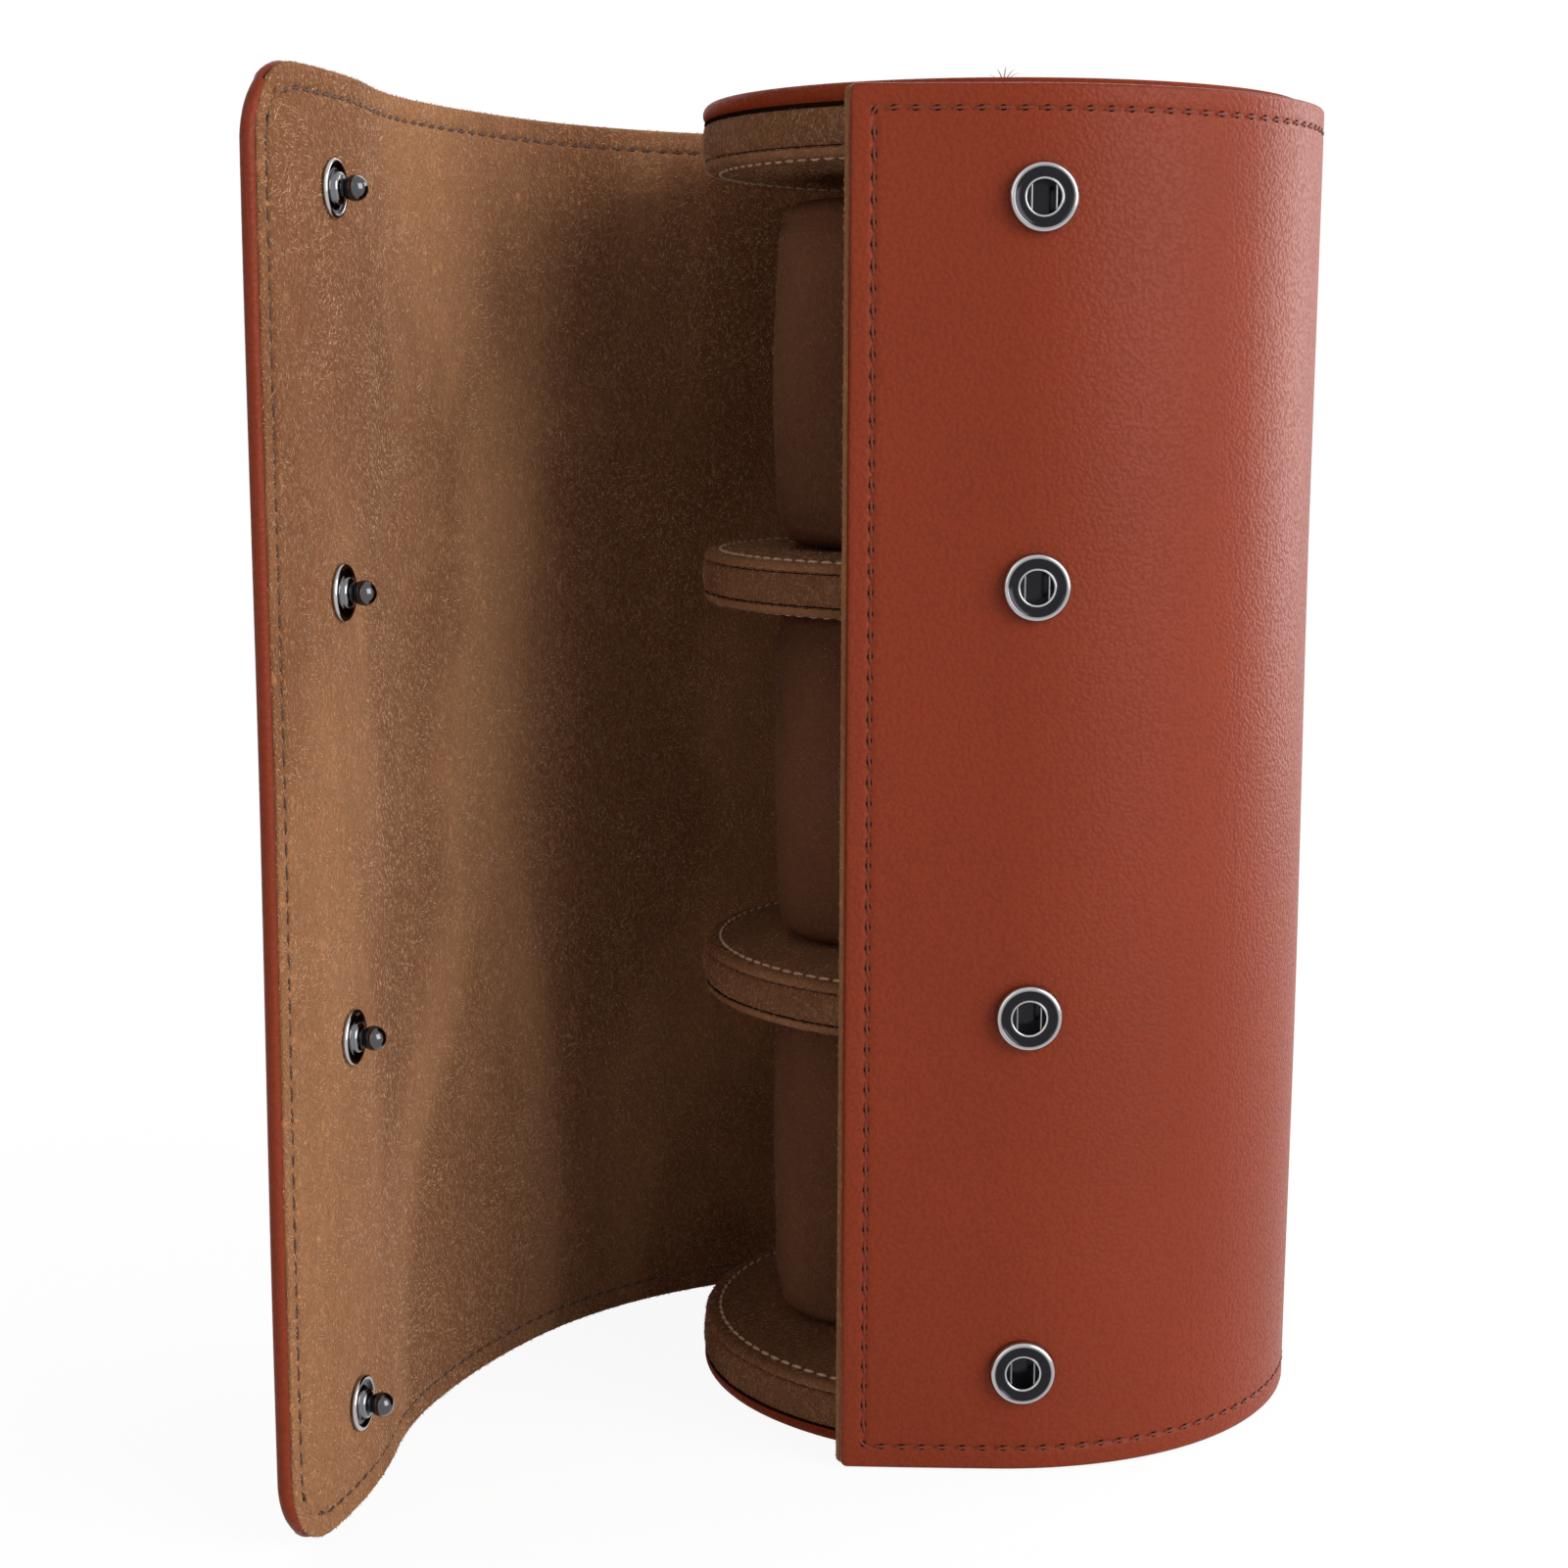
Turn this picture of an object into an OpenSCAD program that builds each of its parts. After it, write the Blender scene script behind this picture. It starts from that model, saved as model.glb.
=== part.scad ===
// Three-slot travel roll for wristwatches.
// One leather sheet with a suede lining wraps two end caps and two dividers.
// Its left end is a long flap with ball studs, its right end a stiff front
// panel with spring sockets. Each compartment holds one loose watch pillow.
// Frame: origin at the centre of the bottom cap's outer face, +Z up the roll,
// -Y towards the front panel, +X away from the open flap.

/* [Roll] */
// Height of the sheet, and of the closed case
case_h = 200; // [180:1:230]
// Radius of the end caps and dividers
disc_r = 46; // [42:0.5:54]
// Slack between the discs and the lining
wrap_gap = 0.3; // [0.2:0.05:0.6]
// Thickness of each end cap
cap_t = 9.1; // [7:0.1:12]
// Thickness of each divider
divider_t = 7.9; // [6:0.1:10]
// Extra height of the top compartment over the other two
top_slot_extra = 3.4; // [0:0.1:8]

/* [Sheet] */
// Thickness of the leather
leather_t = 1.2; // [0.9:0.1:1.6]
// Thickness of the suede lining
lining_t = 1.3; // [0.9:0.1:1.6]
// Step back of the lining from the edges of the leather
lining_inset = 0.8; // [0.4:0.1:1.5]
// Width of the slit left open at each fold line
fold_slit = 0.6; // [0.4:0.1:1]

/* [Front panel] */
// Reach of the panel's free edge to the left of the axis
panel_reach = 23; // [18:0.5:26]
// Angle past the middle of the front at which the panel folds
panel_fold_a = 25; // [20:1:40]

/* [Flap] */
// Angle around the roll at which the sheet leaves the discs
leave_a = 102; // [98:0.5:106]
// Straight stretch between leaving the discs and the first fold line
lead_len = 14.1; // [12:0.1:17]
// Degrees of the roll that each flap strip covers when shut
strip_wrap = [39.7, 40.7, 41.4, 25];
// Curl of each flap strip as it lies open
strip_curl = [22.9, 26.5, 12.6, 16.7];
// Fold of the first fold line between open and shut
fold_1 = 26.8; // [26:0.1:28]
// Shares of the first fold that the second and third fold lines turn
fold_share = [0.415, 0.225];
// Length of the tip from its fold line to the studs
tip_run = 20; // [18:0.5:22]
// Backward curl of the tip between its fold line and the studs
tip_curl = 11; // [4:1:12]
// Reach of the flap beyond the studs
tip_reach = 21.4; // [16:0.1:26]
// Radius of the flap's rounded corners
corner_r = 11; // [6:0.5:16]

/* [Snaps] */
// Spacing of the two middle snaps
snap_mid = 62; // [50:0.5:70]
// Spacing from a middle snap to the outer one
snap_outer = 53.6; // [45:0.1:58]
// Diameter of the socket ring
socket_d = 9.7; // [8.5:0.1:11]
// Height of the socket ring above the leather
socket_h = 1.6; // [1.2:0.1:2]
// Diameter of the stud's flange
stud_d = 8; // [7:0.1:9]
// Height of the stud's flange above the lining
flange_h = 0.8; // [0.6:0.1:1]
// Radius of the stud's ball head
ball_r = 1.75; // [1.5:0.05:1.9]
// Diameter of the plain cap on the outside of the flap
button_d = 10; // [9:0.1:12]
// Running clearance between metal snap pieces
snap_gap = 0.3; // [0.2:0.05:0.5]

/* [Caps and dividers] */
// Thickness of the leather on a cap
cover_t = 1.9; // [1.4:0.1:2.4]
// Rise of the top cap's padded crown
crown_h = 1.2; // [0.4:0.1:2]
// Thickness of the suede facing on a disc
facing_t = 1.3; // [0.9:0.1:1.8]
// Wall of the suede band around a disc
band_t = 1.4; // [1:0.1:2]
// Step in of a facing's sewn edge
seam_step = 0.5; // [0.3:0.1:1]

/* [Pillows] */
// Width of a watch pillow
pillow_w = 70; // [60:1:74]
// Depth of a watch pillow
pillow_d = 44; // [36:1:48]
// Clearance of a pillow above and below
pillow_gap = 0.3; // [0.2:0.05:0.6]
// Thickness of the suede around the foam core
pillow_wall = 1.4; // [1:0.1:2.5]
// Thickness of each padded pillow end
pillow_end_t = 3; // [2:0.5:5]
// Inset of the pillow's drawn-in ends
pillow_draw = 7; // [4:0.5:9]
// Swell of the pillow's middle
pillow_swell = 0.6; // [0:0.1:1.5]

/* [Hidden] */
$fn = 96;

leather_c = "#9c4526";
suede_c = "#8a6340";
board_c = "#b9a98c";
foam_c = "#d8d2c4";
metal_c = "#55555c";

sheet_t = leather_t + lining_t;
lining_r = disc_r + wrap_gap;
outer_r = lining_r + sheet_t;
slack = 0.1;
overcut = 1;
through = 20;

// A frame is [x, y, heading]; outward from the roll is to its right.
// The frame reached from f after a run of the given length and turn.
function ahead(f, len, turn) =
  turn == 0 ? [f[0] + len * cos(f[2]), f[1] + len * sin(f[2]), f[2]]
  : let (r = len * 180 / (PI * turn), h = f[2] + turn)
    [f[0] + r * (sin(h) - sin(f[2])), f[1] - r * (cos(h) - cos(f[2])), h];
function turned(f, a) = [f[0], f[1], f[2] + a];
function polar_a(f) = let (a = atan2(f[1], f[0])) a < 0 ? a + 360 : a;
function strip_len(i) = lining_r * PI / 180 * strip_wrap[i];

// Fold lines as the flap lies open, and the studs' line on the tip.
lead_start = [lining_r * cos(leave_a), lining_r * sin(leave_a), leave_a + 90];
function open_fold(i) =
  i == 0 ? ahead(lead_start, lead_len, 0)
  : ahead(open_fold(i - 1), strip_len(i - 1), strip_curl[i - 1]);
tip_frame = open_fold(4);
stud_frame = ahead(tip_frame, tip_run, -tip_curl);

// The same lines with the flap shut. The fourth fold brings the tip's fold
// line to the radius from which the studs meet the sockets squarely.
folds = [fold_1, fold_1 * fold_share[0], fold_1 * fold_share[1]];
function shut_fold(i) =
  i == 0 ? open_fold(0)
  : ahead(turned(shut_fold(i - 1), folds[i - 1]), strip_len(i - 1), strip_curl[i - 1]);
shut_3 = shut_fold(3);
tip_len = tip_run + tip_reach;
tip_flare = tip_curl * tip_reach / tip_run;
stand_off = socket_h + flange_h + snap_gap;
stud_step = ahead([0, 0, tip_curl], tip_run, -tip_curl);
tip_fold_r = norm([stud_step[0], outer_r + stand_off + stud_step[1]]);
chord = ahead([0, 0, -strip_curl[3] / 2], strip_len(3), strip_curl[3])[0];
shut_3_r = norm([shut_3[0], shut_3[1]]);
chord_a = polar_a(shut_3)
  + acos((tip_fold_r ^ 2 - shut_3_r ^ 2 - chord ^ 2) / (2 * chord * shut_3_r));
fold_4 = chord_a - strip_curl[3] / 2 - shut_3[2];
shut_tip = ahead(turned(shut_3, fold_4), strip_len(3), strip_curl[3]);
snap_a = polar_a(shut_tip) + atan2(stud_step[0], outer_r + stand_off + stud_step[1]);
tip_press = snap_a + 90 + tip_curl - shut_tip[2];

// Heights
slot_h = (case_h - 2 * (cap_t + divider_t) - top_slot_extra) / 3;
lower_divider_z = cap_t + slot_h;
upper_divider_z = lower_divider_z + divider_t + slot_h;
snap_zs = [for (s = [-1, 1]) for (d = [snap_mid / 2, snap_mid / 2 + snap_outer])
  case_h / 2 + s * d];
pillow_h = slot_h - 2 * pillow_gap;
bottom_pillow_z = cap_t + pillow_gap;
middle_pillow_z = lower_divider_z + divider_t + pillow_gap;
top_pillow_z = upper_divider_z + divider_t + pillow_gap;

// Snap pieces
socket_bore_r = ball_r + 2 * snap_gap;
barrel_r = socket_bore_r + 0.6;
eyelet_r = barrel_r + 1.3;
eyelet_t = 0.8;
neck_r = ball_r - 0.45;
shoulder_r = ball_r + slack;
shoulder_h = flange_h + 0.75;
ball_z = stand_off + 0.5;
spring_r = 0.25;
spring_x = neck_r + snap_gap + spring_r - slack;
spring_z = stand_off - (ball_z - ball_r) - snap_gap;
spring_tail = 0.5;
post_r = 1.4;
post_reach = 0.7;
button_h = 1.5;
edge = 0.2;

module at(f) translate([f[0], f[1], 0]) rotate(f[2]) children();

// A stretch of sheet from one run to another along a bend that starts at the
// origin and heads along +X. Inner and outer are depths outwards of the lining.
module bend(len, turn, from, to, inner, outer, low, high) {
  a = abs(turn);
  if (a == 0)
    translate([from, -outer, low]) cube([to - from, outer - inner, high - low]);
  else {
    r = len * 180 / (PI * a);
    side = turn > 0 ? 1 : -1;
    start = turn > 0 ? -90 + a * from / len : 90 - a * to / len;
    near = turn > 0 ? r + inner : r - outer;
    translate([0, side * r, 0]) rotate(start)
      rotate_extrude(angle = a * (to - from) / len)
        translate([near, low]) square([outer - inner, high - low]);
  }
}

// Outline of the tip's plane with two rounded corners at the free edge.
module tip_outline(inset) {
  end = ahead([0, 0, 0], tip_reach, -tip_flare)[0] - inset;
  r = corner_r - inset;
  back = tip_run + overcut;
  translate([-back, inset]) square([back + end - r, case_h - 2 * inset]);
  translate([-back, inset + r]) square([back + end, case_h - 2 * (inset + r)]);
  for (z = [inset + r, case_h - inset - r]) translate([end - r, z]) circle(r);
}

module on_studs() at(stud_frame) for (z = snap_zs) translate([0, 0, z]) children();
module on_sockets() rotate(snap_a) for (z = snap_zs)
  translate([outer_r, 0, z]) rotate([0, 90, 0]) children();

// ---------------------------------------------------------------- sheet

module shell_layer(inner, outer, low, high) rotate(leave_a) {
  first = panel_fold_a - 90 + fold_slit * 90 / (PI * outer_r);
  mirror([0, 1, 0]) rotate_extrude(angle = leave_a - first)
    translate([lining_r + inner, low]) square([outer - inner, high - low]);
  translate([lining_r + inner, 0, low])
    cube([outer - inner, lead_len - fold_slit / 2, high - low]);
}
module shell_leather() color(leather_c) shell_layer(lining_t, sheet_t, 0, case_h);
module shell_lining() color(suede_c)
  shell_layer(0, lining_t, lining_inset, case_h - lining_inset);

module strip_layer(i, inner, outer, low, high)
  at(open_fold(i)) bend(strip_len(i), strip_curl[i], fold_slit / 2,
    strip_len(i) - fold_slit / 2, inner, outer, low, high);
module strip_leather(i) color(leather_c) strip_layer(i, lining_t, sheet_t, 0, case_h);
module strip_lining(i) color(suede_c)
  strip_layer(i, 0, lining_t, lining_inset, case_h - lining_inset);

module tip_layer(inner, outer, inset) intersection() {
  at(tip_frame) bend(tip_len + overcut, -tip_curl - tip_flare * (1 + overcut / tip_reach),
    fold_slit / 2, tip_len + overcut, inner, outer, -overcut, case_h + overcut);
  at(stud_frame) rotate([90, 0, 0]) translate([0, 0, -through / 2])
    linear_extrude(height = through) tip_outline(inset);
}
module stud_holes() on_studs() rotate([90, 0, 0])
  cylinder(r = post_r + slack, h = through, center = true);
module flap_tip_leather() color(leather_c) difference() {
  tip_layer(lining_t, sheet_t, 0);
  stud_holes();
}
module flap_tip_lining() color(suede_c) difference() {
  tip_layer(0, lining_t, lining_inset);
  stud_holes();
}

module panel_layer(inner, outer, low, high, inset) {
  near = lining_r + inner;
  translate([inset - panel_reach, -lining_r - outer, low])
    cube([panel_reach - inset, outer - inner, high - low]);
  rotate(-90) rotate_extrude(angle = panel_fold_a - fold_slit * 90 / (PI * outer_r))
    translate([near, low]) square([outer - inner, high - low]);
}
module front_panel_leather() color(leather_c) difference() {
  panel_layer(lining_t, sheet_t, 0, case_h, 0);
  on_sockets() cylinder(r = barrel_r + slack, h = through, center = true);
}
module front_panel_lining() color(suede_c) difference() {
  panel_layer(0, lining_t, lining_inset, case_h - lining_inset, lining_inset);
  on_sockets() {
    cylinder(r = barrel_r + slack, h = through, center = true);
    translate([0, 0, -sheet_t - overcut]) cylinder(r = eyelet_r + slack, h = eyelet_t + overcut);
  }
}

// ---------------------------------------------------------------- discs

// Leather face of a cap, rounded over at its rim and crowned by rise.
module cap_cover(rise) {
  rim = 1.2;
  crown_r = disc_r - 2 * rim;
  steps = 10;
  rotate_extrude() union() {
    square([disc_r, cover_t - rim]);
    square([disc_r - rim, cover_t]);
    translate([disc_r - rim, cover_t - rim]) intersection() {
      circle(rim);
      square(rim);
    }
    if (rise > 0) polygon([[0, 0], [crown_r, 0], for (k = [steps:-1:0])
      [crown_r * k / steps, cover_t + rise * (1 - (k / steps) ^ 2)]]);
  }
}
module disc_band(h) difference() {
  cylinder(r = disc_r, h = h);
  translate([0, 0, -overcut]) cylinder(r = disc_r - band_t, h = h + 2 * overcut);
}
module disc_core(h) cylinder(r = disc_r - band_t, h = h);
// Suede face of a disc, narrower at its sewn edge and eased at its rim.
module disc_facing() {
  r = disc_r - seam_step;
  ease = facing_t / 2;
  cylinder(r = r, h = facing_t - ease);
  translate([0, 0, facing_t - ease]) cylinder(r1 = r, r2 = r - ease, h = ease);
}

cap_band_h = cap_t - cover_t - facing_t;
divider_band_h = divider_t - 2 * facing_t;

module cap_at_top() translate([0, 0, case_h]) mirror([0, 0, 1]) children();
module top_cap_cover() color(leather_c)
  translate([0, 0, case_h - cover_t]) cap_cover(crown_h);
module top_cap_band() color(suede_c) cap_at_top() translate([0, 0, cover_t]) disc_band(cap_band_h);
module top_cap_core() color(board_c) cap_at_top() translate([0, 0, cover_t]) disc_core(cap_band_h);
module top_cap_facing() color(suede_c)
  cap_at_top() translate([0, 0, cap_t - facing_t]) disc_facing();
module bottom_cap_cover() color(leather_c)
  translate([0, 0, cover_t]) mirror([0, 0, 1]) cap_cover(0);
module bottom_cap_band() color(suede_c) translate([0, 0, cover_t]) disc_band(cap_band_h);
module bottom_cap_core() color(board_c) translate([0, 0, cover_t]) disc_core(cap_band_h);
module bottom_cap_facing() color(suede_c) translate([0, 0, cap_t - facing_t]) disc_facing();

module divider_facings(z) {
  translate([0, 0, z + divider_t - facing_t]) disc_facing();
  translate([0, 0, z + facing_t]) mirror([0, 0, 1]) disc_facing();
}
module divider_band(z) translate([0, 0, z + facing_t]) disc_band(divider_band_h);
module divider_core(z) translate([0, 0, z + facing_t]) disc_core(divider_band_h);

// ---------------------------------------------------------------- snaps

// A post through the sheet, a dished flange, a shoulder, a neck and a ball.
module snap_studs() color(metal_c) on_studs() rotate([-90, 0, 0]) {
  r = stud_d / 2;
  rotate_extrude($fn = 48) {
    polygon([[0, 0], [r - edge, 0], [r, edge], [r, flange_h - edge], [r - edge, flange_h],
      [r - 3 * edge, flange_h - slack], [r - 5 * edge, flange_h / 2],
      [shoulder_r + slack, flange_h / 2], [shoulder_r, shoulder_h - edge],
      [neck_r, shoulder_h], [neck_r, ball_z], [0, ball_z]]);
    translate([0, ball_z]) intersection() {
      circle(ball_r);
      translate([0, -ball_r]) square([ball_r, 2 * ball_r]);
    }
  }
  mirror([0, 0, 1]) cylinder(r = post_r, h = sheet_t + post_reach);
}
// Plain domed caps whose rims rest on the curled leather, each with a bore for
// its stud's post.
button_seat = sheet_t + slack / 2
  + (button_d / 2) ^ 2 / (2 * (tip_run * 180 / (PI * tip_curl) - sheet_t));
module snap_buttons() color(metal_c) on_studs() rotate([90, 0, 0])
  translate([0, 0, button_seat]) rotate_extrude($fn = 64) difference() {
    r = button_d / 2;
    dome_r = (r ^ 2 + button_h ^ 2) / (2 * button_h);
    intersection() {
      translate([0, button_h - dome_r]) circle(dome_r, $fn = 200);
      square([r, button_h]);
    }
    square([post_r + slack, post_reach + slack]);
  }
// A rounded ring on a barrel that goes through the panel.
module snap_sockets() color(metal_c) on_sockets() difference() {
  rotate_extrude($fn = 64) {
    r = socket_d / 2;
    polygon([[socket_bore_r, -sheet_t + slack], [barrel_r, -sheet_t + slack], [barrel_r, 0],
      [r - edge, 0], [r, 0.2 * socket_h], [r, 0.45 * socket_h], [r - edge, 0.72 * socket_h],
      [r - 3 * edge, 0.9 * socket_h], [r - 5 * edge, socket_h], [r - 8 * edge, socket_h],
      [socket_bore_r + edge, 0.75 * socket_h], [socket_bore_r, 0.6 * socket_h]]);
  }
  spring_pair(spring_r + slack / 2, 2 * (barrel_r + spring_tail) + slack);
}
// Two spring wires across each socket, one on each side of the stud's neck.
module spring_pair(r, len) for (x = [-1, 1]) translate([0, x * spring_x, spring_z])
  rotate([0, 90, 0]) cylinder(r = r, h = len, center = true, $fn = 24);
module snap_springs() color("silver") on_sockets()
  spring_pair(spring_r, 2 * (barrel_r + spring_tail));
module snap_eyelets() color(metal_c) on_sockets()
  translate([0, 0, -sheet_t]) difference() {
    cylinder(r = eyelet_r, h = eyelet_t, $fn = 48);
    translate([0, 0, -overcut]) cylinder(r = barrel_r + slack / 2, h = eyelet_t + 2 * overcut, $fn = 48);
  }

// ---------------------------------------------------------------- pillows

function oval(inset) = [for (a = [0:11.25:359]) [
  (pillow_w / 2 - inset) * cos(a), (pillow_d / 2 - inset) * sin(a)]];
// Rings of the cushion's lower half: height and inset, as shares of the draw.
draw_rings = [[0, 1], [0.17, 0.49], [0.49, 0.17], [1, 0.03]];
ring_t = 0.01;
module ring(z, inset) translate([0, 0, z]) linear_extrude(height = ring_t) polygon(oval(inset));
module cushion() hull() {
  for (k = draw_rings) {
    ring(k[0] * pillow_draw, k[1] * pillow_draw);
    ring(pillow_h - k[0] * pillow_draw - ring_t, k[1] * pillow_draw);
  }
  ring(pillow_h / 2, -pillow_swell);
}
core_h = pillow_h - 2 * pillow_end_t;
core_inset = pillow_wall + 0.23 * pillow_draw;
module core_prism(extra) translate([0, 0, pillow_end_t - extra])
  linear_extrude(height = core_h + 2 * extra) polygon(oval(core_inset));
// Everything between the pillow's two padded ends.
module pillow_middle() translate([-pillow_w, -pillow_d, pillow_end_t])
  cube([2 * pillow_w, 2 * pillow_d, core_h]);
module pillow_wrap(z) color(suede_c) translate([0, 0, z]) difference() {
  intersection() {
    cushion();
    pillow_middle();
  }
  core_prism(overcut);
}
module pillow_ends(z) color(suede_c) translate([0, 0, z]) difference() {
  cushion();
  pillow_middle();
}
module pillow_core(z) color(foam_c) translate([0, 0, z]) core_prism(0);

shell_leather();
shell_lining();
top_cap_cover();
top_cap_band();
top_cap_core();
top_cap_facing();
color(suede_c) divider_band(upper_divider_z);  // upper_divider_band
color(board_c) divider_core(upper_divider_z);  // upper_divider_core
color(suede_c) divider_facings(upper_divider_z);  // upper_divider_facings
color(suede_c) divider_band(lower_divider_z);  // lower_divider_band
color(board_c) divider_core(lower_divider_z);  // lower_divider_core
color(suede_c) divider_facings(lower_divider_z);  // lower_divider_facings
bottom_cap_cover();
bottom_cap_band();
bottom_cap_core();
bottom_cap_facing();
strip_leather(0);  // flap_1_leather
strip_lining(0);  // flap_1_lining
strip_leather(1);  // flap_2_leather
strip_lining(1);  // flap_2_lining
strip_leather(2);  // flap_3_leather
strip_lining(2);  // flap_3_lining
strip_leather(3);  // flap_4_leather
strip_lining(3);  // flap_4_lining
flap_tip_leather();
flap_tip_lining();
snap_studs();
snap_buttons();
front_panel_leather();
front_panel_lining();
snap_sockets();
snap_springs();
snap_eyelets();
pillow_wrap(top_pillow_z);  // top_pillow_wrap
pillow_ends(top_pillow_z);  // top_pillow_ends
pillow_core(top_pillow_z);  // top_pillow_core
pillow_wrap(middle_pillow_z);  // middle_pillow_wrap
pillow_ends(middle_pillow_z);  // middle_pillow_ends
pillow_core(middle_pillow_z);  // middle_pillow_core
pillow_wrap(bottom_pillow_z);  // bottom_pillow_wrap
pillow_ends(bottom_pillow_z);  // bottom_pillow_ends
pillow_core(bottom_pillow_z);  // bottom_pillow_core
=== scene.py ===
"""Looks of a three-slot leather watch roll with a suede lining, standing open."""

import math

import bmesh
import bpy
import numpy as np
from mathutils import Matrix, Vector


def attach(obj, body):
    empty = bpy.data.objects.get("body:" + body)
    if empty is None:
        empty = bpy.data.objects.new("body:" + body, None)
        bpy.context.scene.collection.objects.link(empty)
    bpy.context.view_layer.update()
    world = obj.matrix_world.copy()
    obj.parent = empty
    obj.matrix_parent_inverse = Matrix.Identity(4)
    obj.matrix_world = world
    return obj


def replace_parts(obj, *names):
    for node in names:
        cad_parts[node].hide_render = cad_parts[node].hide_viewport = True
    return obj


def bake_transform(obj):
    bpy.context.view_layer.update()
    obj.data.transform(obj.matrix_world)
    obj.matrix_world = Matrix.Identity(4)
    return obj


bl_info = {
    "name": "Watch roll",
    "version": (1, 0, 0),
    "blender": (4, 5, 0),
    "location": "3D View > Sidebar > Watch Roll",
    "description": "Dresses the leather watch roll: sheet, lining, seams, discs, pillows and snaps",
    "category": "Object",
}

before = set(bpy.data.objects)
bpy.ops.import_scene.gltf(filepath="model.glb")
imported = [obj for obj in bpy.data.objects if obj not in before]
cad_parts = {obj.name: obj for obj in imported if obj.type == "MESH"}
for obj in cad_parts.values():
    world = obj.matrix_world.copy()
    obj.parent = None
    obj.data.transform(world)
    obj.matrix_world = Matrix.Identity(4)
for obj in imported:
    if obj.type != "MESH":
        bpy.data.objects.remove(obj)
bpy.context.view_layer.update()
MM = 0.001
UP = np.array([0.0, 0.0, 1.0])
# A profile's point nearer to the axis than this is a pole.
ON_AXIS = 1e-6

# The flexible sheet as runs along the lining, in millimetres and degrees of turn.
SHEET_H = 200.0
PANEL_REACH = 23.0
ROLL_R = 46.3
ROLL_A = 192.0
PANEL_FOLD_A = 25.0
LEAD = 14.1
STRIP_WRAP = (39.7, 40.7, 41.4, 25.0)
STRIP_CURL = (22.9, 26.5, 12.6, 16.7)
TIP_RUN = 20.0
TIP_REACH = 21.4
TIP_CURL = 11.0
TIP_CORNER_R, PANEL_CORNER_R = 11.0, 1.0
STRIP_LEN = [ROLL_R * math.radians(w) for w in STRIP_WRAP]
TIP_LEN = TIP_RUN + TIP_REACH
RUNS = [
    (PANEL_REACH, 0.0),
    (ROLL_R * math.radians(ROLL_A), ROLL_A),
    (LEAD, 0.0),
    *zip(STRIP_LEN, STRIP_CURL),
    (TIP_LEN, -TIP_CURL * TIP_LEN / TIP_RUN),
]
PANEL_FOLD = PANEL_REACH + ROLL_R * math.radians(PANEL_FOLD_A)
FLAP_START = PANEL_REACH + ROLL_R * math.radians(ROLL_A) + LEAD
FOLDS = [FLAP_START + sum(STRIP_LEN[:k]) for k in range(5)]
SHEET_END = FOLDS[4] + TIP_LEN
# Where the sheet's pieces meet, each in the stiff middle of a body.
CUTS = (0.0, 60.0, 186.0, 207.0, 240.0, 273.0, 300.0, SHEET_END)
# Each piece's name, the one or two bodies it lies across, its fold line and the stem of its CAD nodes' names.
SPANS = (
    ("panel", "front_panel", "case", PANEL_FOLD, "front_panel"),
    ("shell", "case", None, None, "shell"),
    ("flap_root", "case", "flap_1", FOLDS[0], "flap_1"),
    ("flap_second", "flap_1", "flap_2", FOLDS[1], "flap_2"),
    ("flap_third", "flap_2", "flap_3", FOLDS[2], "flap_3"),
    ("flap_fourth", "flap_3", "flap_4", FOLDS[3], "flap_4"),
    ("flap_end", "flap_4", "flap_tip", FOLDS[4], "flap_tip"),
)
# Steps of the sheet's mesh, across and along, and the distance within which two points are one.
ROW_STEP, RUN_STEP, SAME_POINT = 3.5, 1.6, 0.002
# Depth of the pressed seam on the leather and on the suede, and its half width.
PRESS_LEATHER, PRESS_SUEDE, PRESS_WIDTH = 0.22, 0.4, 0.45
# How far the leather thickens at the flap's free edge, how far from the edge that starts, and over what run.
EDGE_ROLL, EDGE_ROLL_REACH, EDGE_ROLL_RISE = 0.9, 1.9, 0.8
# Third coordinates of the flat place, which keep the patterns of a layer's inner side and of the bands apart.
BACK_DEPTH, BAND_DEPTH = 3.0, 7.0
# The stiffening board behind the flap's lining.
BOARD_T, BOARD_EDGE, BOARD_END = 0.35, 9.4, 283.5
BOARD_ROWS = (9.0, 9.3, 9.6, 9.9, 10.3)
# Runs over which the lining climbs onto the board: at its long edges, its free end and its root.
BOARD_RAMPS = (0.5, 1.7, 12.0)
# Loose fibres start where the lining comes out from behind the discs, and stand on the panel's free edge too.
NAP_FROM, NAP_PANEL = 150.0, 5.0
# Edges between faces that turn by more than this many degrees stay sharp.
SHARP_SHEET, SHARP_METAL = 50.0, 60.0

DISC_R = 46.0
DISCS = (
    ("bottom_cap", 0.0, 9.1),
    ("lower_divider", 63.3, 71.2),
    ("upper_divider", 125.4, 133.3),
    ("top_cap", 190.9, 200.0),
)
COVER_T = 1.9
FACING_T = 1.3
DISC_STITCH_R = DISC_R - 2.6
# Thickness and pitch of the stitches on the discs, in metres.
DISC_THREAD, DISC_PITCH = 0.00055, 0.0026
# A stitch's share of its pitch, and the width in metres of the painted shade at its needle hole, on the sheet
# and on the discs.
SHEET_STITCH, SHEET_HOLE = 0.84, 0.0010
DISC_STITCH, DISC_HOLE = 0.8, 0.0005
# The discs' faces carry loose fibres outside this radius, and their bands within this much of the rim.
DISC_NAP_R, BAND_NAP = 33.0, 0.5
# The dark ring of painted shade in the groove beside a band: distance of its middle from the rim, and its
# radius.
JOINT_IN, JOINT_R = 0.5, 0.37
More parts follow.
